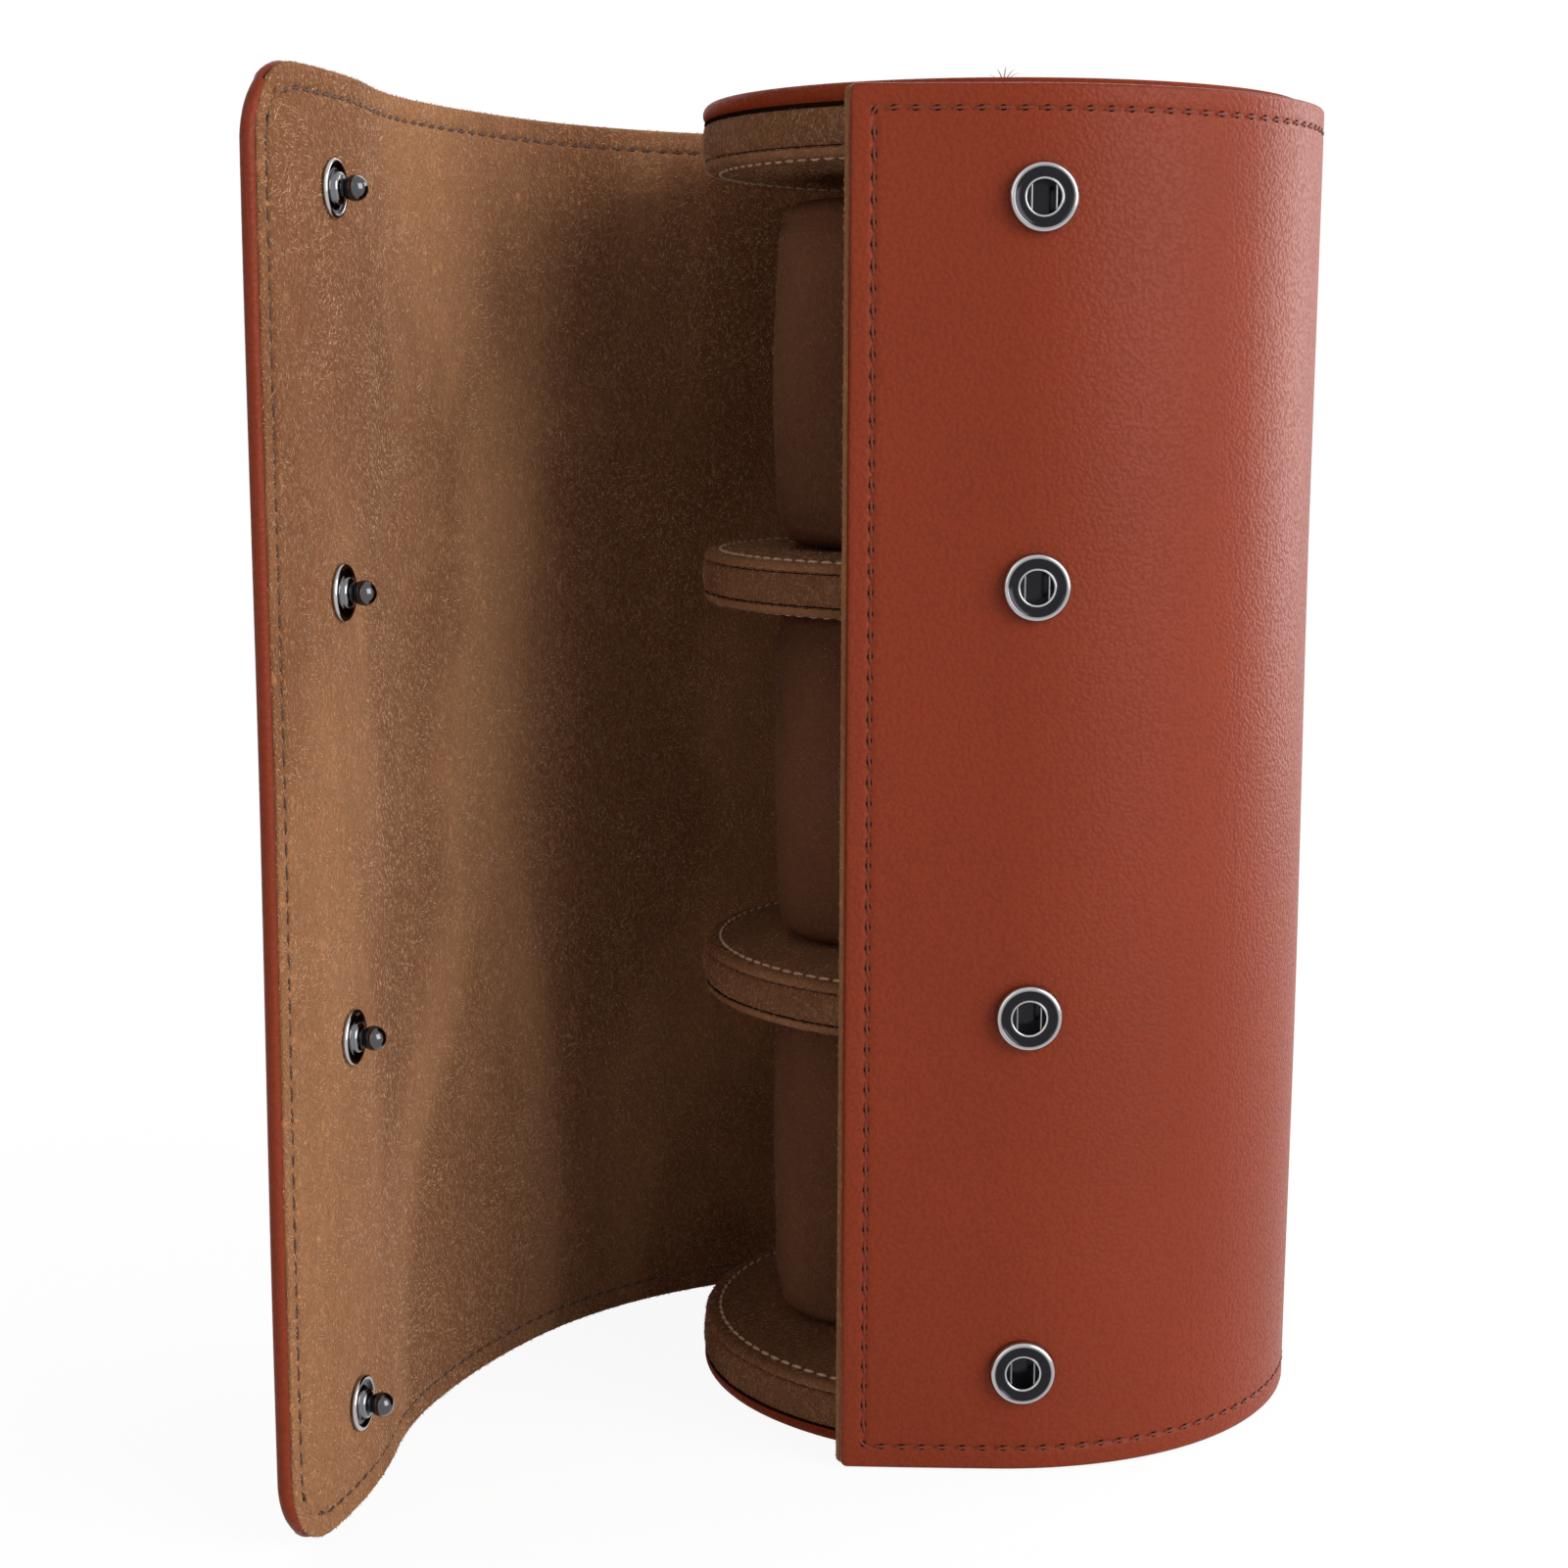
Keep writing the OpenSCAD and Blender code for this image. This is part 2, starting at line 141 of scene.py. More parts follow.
# Strands of the frayed thread on the top cap, as (reach, lean, height), and their foot.
STRANDS = ((-2.3, 0.3, 1.3), (-1.0, -0.4, 1.9), (0.3, 0.2, 2.3), (1.5, -0.2, 1.9), (2.4, 0.4, 1.6))
STRAND_FOOT = (-1.6, -40.0, 200.6)
STRAND_R = 0.13

PILLOWS = (("bottom", 9.4), ("middle", 71.5), ("top", 133.6))
PILLOW_H = 53.6
PILLOW_HALF = (35.0, 22.0)
PILLOW_SHRINK, PILLOW_SWELL = 0.4, 1.6
PILLOW_SQUARENESS = 2.7
# The end faces slide past the stitches of the discs, so loose fibres keep this far from them.
PILLOW_BARE = 1.5

SNAP_HEIGHTS = (15.4, 69.0, 131.0, 184.6)
SNAP_ANGLE = math.radians(274.377)
SNAP_WAY = np.array([math.cos(SNAP_ANGLE), math.sin(SNAP_ANGLE), 0.0])
SNAP_SIDE = np.array([-math.sin(SNAP_ANGLE), math.cos(SNAP_ANGLE), 0.0])
# The sockets' holes in the panel: their radius, and how far the punch reaches in and out from the lining.
SOCKET_HOLE_R, PUNCH_IN, PUNCH_OUT = 3.0, 4.0, 6.0
# Profiles of the snap pieces as (radius, height, distance from a rim with a painted glint); the first value
# below is a distance at which no edge mark or glint shows.
FAR_FROM_EDGE = 9.0
STUD_PROFILE = [
    (0.0, -3.1, FAR_FROM_EDGE), (1.2, -3.1, FAR_FROM_EDGE), (1.2, -0.05, FAR_FROM_EDGE), (3.7, -0.05, 0.4), (3.95, 0.1, 0.2),
    (4.0, 0.3, 0.0), (3.95, 0.58, 0.0), (3.8, 0.76, 0.0), (3.6, 0.8, 0.05), (3.35, 0.68, 0.5),
    (3.1, 0.44, FAR_FROM_EDGE), (2.85, 0.34, FAR_FROM_EDGE), (2.55, 0.36, FAR_FROM_EDGE), (2.32, 0.5, 0.5), (2.22, 0.75, 0.35),
    (2.18, 1.1, 0.4), (2.05, 1.35, 0.3), (1.75, 1.5, 0.4), (1.42, 1.56, FAR_FROM_EDGE), (1.3, 1.7, FAR_FROM_EDGE),
    (1.28, 1.98, FAR_FROM_EDGE),
]
STUD_BALL_R, STUD_BALL_H, STUD_BALL_STEPS = 1.75, 3.2, 14
SOCKET_PROFILE = [
    (0.0, -2.5, FAR_FROM_EDGE), (2.95, -2.5, FAR_FROM_EDGE), (2.95, -0.02, FAR_FROM_EDGE), (4.6, -0.02, 0.5), (4.8, 0.12, 0.4),
    (4.85, 0.35, 0.3), (4.85, 0.75, 0.2), (4.8, 1.1, 0.1), (4.68, 1.38, 0.0), (4.5, 1.55, 0.0),
    (4.3, 1.6, 0.1), (4.1, 1.54, 0.45), (3.9, 1.43, FAR_FROM_EDGE), (3.6, 1.34, FAR_FROM_EDGE), (3.2, 1.28, FAR_FROM_EDGE),
    (2.86, 1.27, FAR_FROM_EDGE), (2.7, 1.36, 0.2), (2.57, 1.40, 0.0), (2.45, 1.34, 0.0), (2.37, 1.18, 0.3),
    (2.35, 0.9, FAR_FROM_EDGE), (2.35, -2.38, FAR_FROM_EDGE), (0.0, -2.38, FAR_FROM_EDGE),
]
# The two spring wires in a socket: radius, distance from the axis, height and half length.
SPRING_R, SPRING_APART, SPRING_H, SPRING_HALF = 0.17, 1.72, 1.0, 2.3


# ------------------------------------------------------------------ settings


def length(name, mm, low, high, note):
    """A length whose value and limits are given in millimetres."""
    return bpy.props.FloatProperty(name=name, description=note, default=mm * MM, min=low * MM, max=high * MM,
                                   precision=5, unit="LENGTH")


def tone(name, colour, note):
    return bpy.props.FloatVectorProperty(name=name, description=note, subtype="COLOR", size=4,
                                         default=(*colour, 1.0), min=0.0, max=1.0)


def power(name, watts, note):
    return bpy.props.FloatProperty(name=name, description=note, default=watts, min=0.0, max=200.0,
                                   subtype="POWER")


class RollSizes(bpy.types.PropertyGroup):
    leather: length("Leather", 1.2, 0.5, 3.0, "Thickness of the leather")
    lining: length("Lining", 1.3, 0.5, 3.0, "Thickness of the suede lining")
    lining_inset: length("Lining inset", 0.1, 0.0, 3.0,
                         "Step back of the suede from the long edges of the leather")
    rim: length("Leather rim", 1.4, 0.0, 4.0, "Leather left showing around the suede at the flap's free edge")
    seam_inset: length("Seam inset", 3.4, 2.0, 8.0, "Distance of the perimeter stitching from the edge")
    pitch: length("Stitch pitch", 3.0, 1.5, 6.0, "Distance from one stitch to the next")
    thread: length("Thread", 0.5, 0.2, 1.0, "Thickness of the sewing thread")
    overhang: length("Panel overhang", 0.7, 0.0, 2.0,
                     "Reach of the raw suede past the leather at the panel's free edge")
    fibre: length("Suede fibre", 0.62, 0.3, 3.0, "Length of the loose fibres of the suede")
    nap: bpy.props.FloatProperty(
        name="Nap density", description="Loose fibres on each square millimetre of suede", default=2.5,
        min=0.0, max=4.0)
    bend: length("Bend", 12.0, 2.0, 20.0, "Length of sheet that bends at each fold line")


class RollFinish(bpy.types.PropertyGroup):
    leather: tone("Leather", (0.228, 0.033, 0.0105), "Colour of the leather")
    # Lit and shaded copies of the suede, mixed in patches as painted sheen.
    suede_light: tone("Suede light", (0.590, 0.275, 0.122), "Suede where its nap lies towards the light")
    suede_dark: tone("Suede dark", (0.200, 0.064, 0.023), "Suede where its nap lies away from the light")
    thread: tone("Seam thread", (0.165, 0.026, 0.010), "Thread around the sheet")
    disc_thread: tone("Disc thread", (0.800, 0.560, 0.370), "Thread on the caps and dividers")
    # The dark plating is partly the snaps' own black finish and partly painted dark reflection.
    metal: tone("Snap metal", (0.022, 0.021, 0.024), "Dark plating of the snap fasteners")
    # Painted glint: the bright rims stand in for reflections of the lights on the rounded rims.
    rim_glint: tone("Rim glints", (0.46, 0.45, 0.46),
                   "Rims of the snap fasteners, where the plating is bright")


class RollStage(bpy.types.PropertyGroup):
    lens: bpy.props.FloatProperty(
        name="Lens", description="Focal length of the camera in millimetres", default=63.766, min=20.0,
        max=200.0)
    key: power("Key light", 11.0, "Power of the large light at the right")
    side: power("Side light", 6.0, "Power of the light behind the right side")
    back: power("Back light", 5.0, "Power of the light behind the roll")
    fill: power("Fill light", 2.0, "Power of the light at the front left")
    room: bpy.props.FloatProperty(
        name="Room light", description="Strength of the even light from all around", default=0.30, min=0.0,
        max=2.0)


# ------------------------------------------------------------------ helpers


def put(tree, kind, inputs=None, **settings):
    """A new node with its settings, and its inputs set or linked."""
    made = tree.nodes.new(kind)
    for name, value in settings.items():
        setattr(made, name, value)
    for name, value in (inputs or {}).items():
        if isinstance(value, bpy.types.NodeSocket):
            tree.links.new(value, made.inputs[name])
        else:
            made.inputs[name].default_value = value
    return made


def feed(tree, node, **values):
    """Links outputs to a node's inputs, named with underscores for spaces."""
    for label, value in values.items():
        tree.links.new(value, node.inputs[label.replace("_", " ")])


def math_node(tree, operation, a, b=0.0, c=0.0, clamp=False):
    return put(tree, "ShaderNodeMath", {0: a, 1: b, 2: c}, operation=operation, use_clamp=clamp).outputs[0]


def mix_colour(tree, factor, a, b):
    return put(tree, "ShaderNodeMix", {0: factor, 6: a, 7: b}, data_type="RGBA", blend_type="MIX").outputs[2]


def ramp(tree, factor, low, high, to_low=0.0, to_high=1.0):
    return put(tree, "ShaderNodeMapRange", {0: factor, 1: low, 2: high, 3: to_low, 4: to_high},
               interpolation_type="SMOOTHSTEP").outputs[0]


def noise(tree, place, scale, detail, **more):
    return put(tree, "ShaderNodeTexNoise", {"Vector": place, "Scale": scale, "Detail": detail, **more})


def pushed(tree, place, by, reach):
    """A place pushed about by a colour."""
    way = put(tree, "ShaderNodeVectorMath", {0: by, 3: reach}, operation="SCALE").outputs[0]
    return put(tree, "ShaderNodeVectorMath", {0: place, 1: way}, operation="ADD").outputs[0]


def random_value(tree, low, high, seed):
    return put(tree, "FunctionNodeRandomValue", {"Min": low, "Max": high, "Seed": seed},
               data_type="FLOAT").outputs[1]


def vector(tree, **parts):
    return put(tree, "ShaderNodeCombineXYZ", parts).outputs[0]


def turned_by(tree, rotation, euler):
    """A rotation, turned further about its own axes."""
    turn = put(tree, "FunctionNodeEulerToRotation", {0: euler}).outputs[0]
    return put(tree, "FunctionNodeRotateRotation", {"Rotation": rotation, "Rotate By": turn},
               rotation_space="LOCAL").outputs[0]


def copies(tree, points, shape, rotation, scale):
    return put(tree, "GeometryNodeInstanceOnPoints", {
        "Points": points, "Instance": shape, "Rotation": rotation, "Scale": scale}).outputs[0]


def painted(tree, instances, finish):
    """Instances made real, with a material."""
    solid = put(tree, "GeometryNodeRealizeInstances", {0: instances}).outputs[0]
    return put(tree, "GeometryNodeSetMaterial", {"Geometry": solid, "Material": finish}).outputs[0]


def group_tree(name, kind, inputs, outputs):
    """An empty node group with named sockets, and its input and output nodes."""
    tree = bpy.data.node_groups.new(name, kind)
    for label, socket, value in inputs:
        made = tree.interface.new_socket(name=label, in_out="INPUT", socket_type="NodeSocket" + socket)
        if value is not None:
            made.default_value = value
    for label, socket in outputs:
        tree.interface.new_socket(name=label, in_out="OUTPUT", socket_type="NodeSocket" + socket)
    return tree, tree.nodes.new("NodeGroupInput").outputs, tree.nodes.new("NodeGroupOutput")


def material(name):
    return bpy.data.materials[name]


def linked(name, data):
    """An object of its own in the scene."""
    made = bpy.data.objects.new(name, data)
    bpy.context.scene.collection.objects.link(made)
    return made


def shade_smooth(mesh):
    mesh.polygons.foreach_set("use_smooth", np.ones(len(mesh.polygons), bool))


def sharpen(mesh, degrees):
    """Marks the edges between faces that meet at a steep angle, so that smooth shading stops there."""
    work = bmesh.new()
    work.from_mesh(mesh)
    for line in work.edges:
        line.smooth = len(line.link_faces) != 2 or line.calc_face_angle(0.0) < math.radians(degrees)
    work.to_mesh(mesh)
    work.free()


def store(mesh, name, values):
    """Keeps a number or a vector for each point as an attribute."""
    values = np.asarray(values, np.float32)
    kind, field = ("FLOAT_VECTOR", "vector") if values.ndim == 2 else ("FLOAT", "value")
    made = mesh.attributes.get(name) or mesh.attributes.new(name, kind, "POINT")
    made.data.foreach_set(field, values.ravel())


def points_of(piece):
    """The points of a piece in millimetres, one in each row."""
    return np.array([v.co for v in piece.data.vertices]) / MM


def mesh_object(name, points, faces, flat=None, edge=None, merge=0.0):
    """A mesh object from millimetres, with each point's flat place and edge distance kept as attributes."""
    mesh = bpy.data.meshes.new(name)
    mesh.from_pydata((np.asarray(points, float) * MM).tolist(), [], faces)
    if flat is not None:
        store(mesh, "flat", np.asarray(flat, float) * MM)
    if edge is not None:
        store(mesh, "edge", edge)
    if merge:
        work = bmesh.new()
        work.from_mesh(mesh)
        bmesh.ops.remove_doubles(work, verts=work.verts, dist=merge * MM)
        work.to_mesh(mesh)
        work.free()
    shade_smooth(mesh)
    return linked(name, mesh)


def finished(source, name):
    """The evaluated source as a plain mesh object of its own; the source is removed."""
    graph = bpy.context.evaluated_depsgraph_get()
    mesh = bpy.data.meshes.new_from_object(source.evaluated_get(graph))
    bpy.data.objects.remove(source)
    if mesh.materials and mesh.materials[0] is None:
        mesh.materials.pop(index=0)
    mesh.name = name
    return linked(name, mesh)


def use_tree(source, tree, **values):
    """Puts a node tree on an object, with the values of its named inputs."""
    modifier = source.modifiers.new(tree.name, "NODES")
    modifier.node_group = tree
    for item in tree.interface.items_tree:
        if item.item_type == "SOCKET" and item.in_out == "INPUT" and item.name in values:
            modifier[item.identifier] = values[item.name]


def around(count):
    return np.arange(count) * 2 * math.pi / count


def arc_points(cx, cz, r, a0, a1, count):
    turns = [math.radians(a0 + (a1 - a0) * k / count) for k in range(count + 1)]
    return [(cx + r * math.cos(t), cz + r * math.sin(t)) for t in turns]


def tube(rings):
    """Points and faces of a closed tube through rings of points."""
    count, last = len(rings[0]), (len(rings) - 1) * len(rings[0])
    faces = [[a + i, a + (i + 1) % count, a + count + (i + 1) % count, a + count + i]
             for a in range(0, last, count) for i in range(count)]
    faces += [list(range(count))[::-1], list(range(last, last + count))]
    return [tuple(p) for ring in rings for p in ring], faces


def gathered(parts):
    """The points and faces of several meshes as one."""
    points, faces = [], []
    for own, own_faces in parts:
        faces += [[v + len(points) for v in face] for face in own_faces]
        points += list(own)
    return points, faces


def revolved(profile, count):
    """Points, faces and rings of a solid of revolution from (radius, height) pairs. A pair on the axis
    becomes a pole, and a profile that starts off the axis closes on itself."""
    points, faces, rings = [], [], []
    for r, h in profile:
        pole = r < ON_AXIS
        rings.append([len(points)] * count if pole else list(range(len(points), len(points) + count)))
        points += [(0.0, 0.0, h)] if pole else [(r * math.cos(t), r * math.sin(t), h) for t in around(count)]
    pairs = list(zip(rings, rings[1:]))
    if profile[0][0] > ON_AXIS:
        pairs.append((rings[-1], rings[0]))
    for low, high in pairs:
        for i in range(count):
            j = (i + 1) % count
            face = [low[i], low[j], high[j], high[i]]
            faces.append([v for n, v in enumerate(face) if v not in face[:n]])
    return points, faces, rings


# ------------------------------------------------------------------ materials


def leather_grain():
    """Fine pebbles, pores and a slow mottling of coated leather."""
    tree, got, out = group_tree(
        "Leather grain", "ShaderNodeTree", [("Place", "Vector", None), ("Pebble", "Float", 0.0009)],
        [("Height", "Float"), ("Mottle", "Float")])
    place = got["Place"]
    bent = pushed(tree, place, noise(tree, place, 700.0, 2.0).outputs["Color"], 0.0007)
    cells = put(tree, "ShaderNodeTexVoronoi", {
        "Vector": bent, "Scale": math_node(tree, "DIVIDE", 1.0, got["Pebble"]), "Randomness": 1.0},
        feature="SMOOTH_F1")
    pebble = math_node(tree, "MULTIPLY", ramp(tree, cells.outputs["Distance"], 0.15, 0.75, 1.0, 0.0), 0.7)
    pore = math_node(tree, "MULTIPLY", noise(tree, place, 2600.0, 3.0).outputs["Fac"], 0.3)
    feed(tree, out, Height=math_node(tree, "ADD", pebble, pore),
         Mottle=noise(tree, place, 26.0, 2.0).outputs["Fac"])


def suede_nap():
    """Patches of painted sheen where the nap is brushed, and tufts of short fibres."""
    tree, got, out = group_tree(
        "Suede nap", "ShaderNodeTree",
        [("Place", "Vector", None), ("Patch", "Float", 0.030), ("Tuft", "Float", 0.0010)],
        [("Height", "Float"), ("Brushed", "Float"), ("Fibre", "Float")])
    place = got["Place"]
    stretched = put(tree, "ShaderNodeMapping", {
        "Vector": place, "Scale": (1.0, 0.45, 1.0), "Rotation": (0.0, 0.0, 0.35)}).outputs[0]
    patches = noise(tree, stretched, math_node(tree, "DIVIDE", 1.0, got["Patch"]), 4.0, Roughness=0.55,
                    Distortion=0.6)
    swirled = pushed(tree, place, noise(tree, place, 160.0, 2.0).outputs["Color"], 0.004)
    combed = put(tree, "ShaderNodeMapping", {
        "Vector": swirled, "Scale": (1.0, 0.5, 1.0), "Rotation": (0.0, 0.0, 0.5)}).outputs[0]
    tufts = noise(tree, combed, math_node(tree, "DIVIDE", 1.0, got["Tuft"]), 4.0, Roughness=0.7,
                  Distortion=1.2)
    fibre = ramp(tree, tufts.outputs["Fac"], 0.40, 0.66)
    feed(tree, out, Height=fibre, Brushed=ramp(tree, patches.outputs["Fac"], 0.36, 0.64), Fibre=fibre)


def near_edge():
    """1 on the edge of a piece, falling to 0 at the width."""
    tree, got, out = group_tree(
        "Near edge", "ShaderNodeTree", [("Edge", "Float", 10.0), ("Width", "Float", 0.6)],
        [("Mask", "Float")])
    share = math_node(tree, "DIVIDE", got["Edge"], got["Width"])
    feed(tree, out, Mask=math_node(tree, "SUBTRACT", 1.0, share, clamp=True))


def new_material(name, **constants):
    """A material with a Principled BSDF whose constants are set on its own sockets."""
    made = bpy.data.materials.new(name)
    made.use_nodes = True
    shader = made.node_tree.nodes["Principled BSDF"]
    for label, value in constants.items():
        shader.inputs[label.replace("_", " ")].default_value = value
    return made.node_tree, shader


def attribute(tree, name, output="Fac"):
    return put(tree, "ShaderNodeAttribute", attribute_name=name, attribute_type="GEOMETRY").outputs[output]


def object_place(tree):
    return put(tree, "ShaderNodeTexCoord").outputs["Object"]


def effect(tree, name, **inputs):
    """One of the shared effects, with this material's own values."""
    return put(tree, "ShaderNodeGroup", inputs, node_tree=bpy.data.node_groups[name]).outputs


def edge_mask(tree):
    return effect(tree, "Near edge", Edge=attribute(tree, "edge"))["Mask"]


def bump(tree, shader, height, distance, strength):
    made = put(tree, "ShaderNodeBump", {"Height": height, "Distance": distance, "Strength": strength})
    feed(tree, shader, Normal=made.outputs[0])


def scaled(colour, share):
    return (colour[0] * share, colour[1] * share, colour[2] * share, 1.0)


def leather_material(name, colour, specular=0.14, rough=0.36):
    tree, shader = new_material(name, Specular_IOR_Level=specular)
    grain = effect(tree, "Leather grain", Place=attribute(tree, "flat", "Vector"), Pebble=0.00055)
    mottle = ramp(tree, grain["Mottle"], 0.3, 0.7)
    body = mix_colour(tree, mottle, scaled(colour, 0.965), scaled(colour, 1.03))
    body = mix_colour(tree, ramp(tree, grain["Height"], 0.2, 0.8, 0.30, 0.0), body, scaled(colour, 0.6))
    body = mix_colour(tree, math_node(tree, "MULTIPLY", edge_mask(tree), 0.35), body, scaled(colour, 0.7))
    feed(tree, shader, Base_Color=body, Roughness=ramp(tree, grain["Height"], 0.2, 0.9, rough + 0.14, rough))
    bump(tree, shader, grain["Height"], 0.00009, 0.85)


def suede_material(name, light, dark, patch, tuft, lift=0.0):
    tree, shader = new_material(name, Roughness=0.95, Specular_IOR_Level=0.08, Sheen_Weight=0.25,
                                Sheen_Roughness=0.5, Sheen_Tint=(0.95, 0.62, 0.38, 1.0))
    nap = effect(tree, "Suede nap", Place=attribute(tree, "flat", "Vector"), Patch=patch, Tuft=tuft)
    # Painted sheen: brushed patches and tufts mix between the suede as lit and as shaded, as its nap lies
    # towards or away from the light.
    share = math_node(tree, "MULTIPLY", nap["Brushed"], 0.50)
    share = math_node(tree, "MULTIPLY_ADD", nap["Fibre"], 0.50, share)
    body = mix_colour(tree, math_node(tree, "ADD", share, lift, clamp=True), dark, light)
    body = mix_colour(tree, math_node(tree, "MULTIPLY", edge_mask(tree), 0.3), body, light)
    feed(tree, shader, Base_Color=body)
    bump(tree, shader, nap["Height"], 0.00035, 0.8)


def fibre_material(name, low, high):
    """Loose fibres, each of its own shade."""
    tree, shader = new_material(name, Roughness=0.85, Specular_IOR_Level=0.15)
    feed(tree, shader, Base_Color=mix_colour(tree, attribute(tree, "shade"), low, high))


def thread_material(name, colour):
    tree, shader = new_material(name, Roughness=0.62, Sheen_Weight=0.15, Specular_IOR_Level=0.3)
    ply = put(tree, "ShaderNodeTexWave", {"Vector": object_place(tree), "Scale": 1300.0, "Distortion": 0.6},
              bands_direction="DIAGONAL").outputs["Fac"]
    feed(tree, shader, Base_Color=mix_colour(tree, ply, scaled(colour, 0.75), scaled(colour, 1.2)))
    bump(tree, shader, ply, 0.00006, 0.7)


def metal_material(name, colour, roughness=0.16, rim_glint=None):
    """Plated metal; with a rim glint colour it turns bright where the piece's edge attribute nears 0, a
    painted glint that stands in for reflections on the rims.
    """
    tree, shader = new_material(name, Metallic=1.0)
    place = object_place(tree)
    cloud = noise(tree, place, 350.0, 4.0).outputs["Fac"]
    drawn = put(tree, "ShaderNodeMapping", {"Vector": place, "Scale": (1.0, 1.0, 9.0)}).outputs[0]
    body = mix_colour(tree, cloud, scaled(colour, 0.85), scaled(colour, 1.15))
    # Painted glint: lighter colour on the rims, where a reflection of the lights would show.
    if rim_glint:
        body = mix_colour(tree, edge_mask(tree), body, rim_glint)
    feed(tree, shader, Base_Color=body,
         Roughness=ramp(tree, cloud, 0.3, 0.7, roughness * 0.75, roughness * 1.35))
    bump(tree, shader, noise(tree, drawn, 900.0, 5.0, Roughness=0.7).outputs["Fac"], 0.000015, 0.4)


def board_material(name, colour):
    tree, shader = new_material(name, Roughness=0.9)
    pulp = noise(tree, object_place(tree), 500.0, 5.0).outputs["Fac"]
    feed(tree, shader, Base_Color=mix_colour(tree, pulp, scaled(colour, 0.75), scaled(colour, 1.15)))
    bump(tree, shader, pulp, 0.0001, 0.5)


# ------------------------------------------------------------------ loose nap


def nap_tree():
    """Short fibres that lie over a suede surface, combed in slowly changing directions."""
    tree, got, out = group_tree(
        "Loose nap", "GeometryNodeTree",
        [("Geometry", "Geometry", None), ("Density", "Float", 1000000.0), ("Length", "Float", 0.0011),
         ("Width", "Float", 0.00014), ("Lie", "Float", 1.25), ("Seed", "Int", 1),
         ("Fibre", "Material", None)],
        [("Geometry", "Geometry")])
    seed, width = got["Seed"], got["Width"]
    shown = put(tree, "GeometryNodeInputNamedAttribute", {"Name": "nap"}, data_type="FLOAT").outputs[0]
    spread = put(tree, "GeometryNodeDistributePointsOnFaces", {
        "Mesh": got["Geometry"], "Density": math_node(tree, "MULTIPLY", got["Density"], shown), "Seed": seed})
    stood = put(tree, "FunctionNodeAlignRotationToVector", {"Vector": spread.outputs["Normal"]}, axis="Z")
    combed = put(tree, "ShaderNodeTexNoise", {"Scale": 70.0, "Detail": 2.0}).outputs[0]
    spin = math_node(tree, "MULTIPLY_ADD", combed, 14.0, random_value(tree, -1.5, 1.5, seed))
    lean = math_node(tree, "ADD", got["Lie"], random_value(tree, -0.35, 0.2, seed))
    long = math_node(tree, "MULTIPLY", got["Length"], random_value(tree, 0.55, 1.25, seed))
    blade = put(tree, "GeometryNodeMeshCone", {
        "Vertices": 3, "Radius Top": 0.0, "Radius Bottom": 0.5, "Depth": 1.0})
    blades = copies(tree, spread.outputs["Points"], blade.outputs[0],
                    turned_by(tree, stood.outputs[0], vector(tree, X=lean, Z=spin)),
                    vector(tree, X=width, Y=width, Z=long))
    shaded = put(tree, "GeometryNodeStoreNamedAttribute", {
        "Geometry": blades, "Name": "shade", "Value": random_value(tree, 0.0, 1.0, seed)}, data_type="FLOAT",
        domain="INSTANCE").outputs[0]
    feed(tree, out, Geometry=painted(tree, shaded, got["Fibre"]))


def nap_on(piece, name, shown, sizes, seed, share=1.0, finish="Lining fibre"):
    """Loose fibres on the points of a piece that are shown, as a mesh of their own."""
    under = linked(name + "_under", piece.data.copy())
    store(under.data, "nap", shown)
    use_tree(under, bpy.data.node_groups["Loose nap"], Density=sizes.nap * share * 1e6, Length=sizes.fibre,
             Seed=seed, Fibre=material(finish))
    made = finished(under, name)
    shade_smooth(made.data)
    return made


# ------------------------------------------------------------------ the sheet


def along_sheet(s):
    """Place and heading on the lining's inner face at distances along the sheet."""
    s = np.asarray(s, float)
    x, y, heading = np.zeros_like(s), np.zeros_like(s), np.zeros_like(s)
    px, py, h, start = -PANEL_REACH, -ROLL_R, 0.0, 0.0
    for k, (run, turn) in enumerate(RUNS):
        inside = (s >= start) if k else np.ones_like(s, bool)
        t = s[inside] - start
        a = math.radians(turn)
        if turn:
            r = run / a
            now = h + t / r
            x[inside] = px + r * (np.sin(now) - math.sin(h))
            y[inside] = py - r * (np.cos(now) - math.cos(h))
            heading[inside] = now
            px, py = px + r * (math.sin(h + a) - math.sin(h)), py - r * (math.cos(h + a) - math.cos(h))
        else:
            x[inside] = px + t * math.cos(h)
            y[inside] = py + t * math.sin(h)
            heading[inside] = h
            px, py = px + run * math.cos(h), py + run * math.sin(h)
        h += a
        start += run
    return x, y, heading


def slow_waves(s, z):
    """The slight unevenness of a hand-made sheet."""
    return (0.10 * np.sin(s / 13.0 + z / 37.0) + 0.08 * np.sin(s / 23.0 - z / 19.0 + 1.3)
            + 0.05 * np.sin(s / 7.0 + z / 51.0 + 0.4))


def board_rise(s, z):
    """How far the stiffening board behind the lining lifts it; its edges show as faint creases."""
    def step(value, width):
        share = np.clip(value / width, 0.0, 1.0)
        return share * share * (3.0 - 2.0 * share)
    edge = np.minimum(z, SHEET_H - z)
    long_edge, free_end, root = BOARD_RAMPS
    raised = BOARD_T * step(edge - BOARD_EDGE, long_edge) * step(BOARD_END - s, free_end)
    return raised * step(s - FLAP_START + LEAD, root)


def on_sheet(s, z, depth):
    """Points at a depth outwards of the lining's inner face, in millimetres."""
    x, y, h = along_sheet(s)
    d = depth + slow_waves(s, z)
    return np.stack([x + d * np.sin(h), y - d * np.cos(h), z + 0.0 * s], -1)


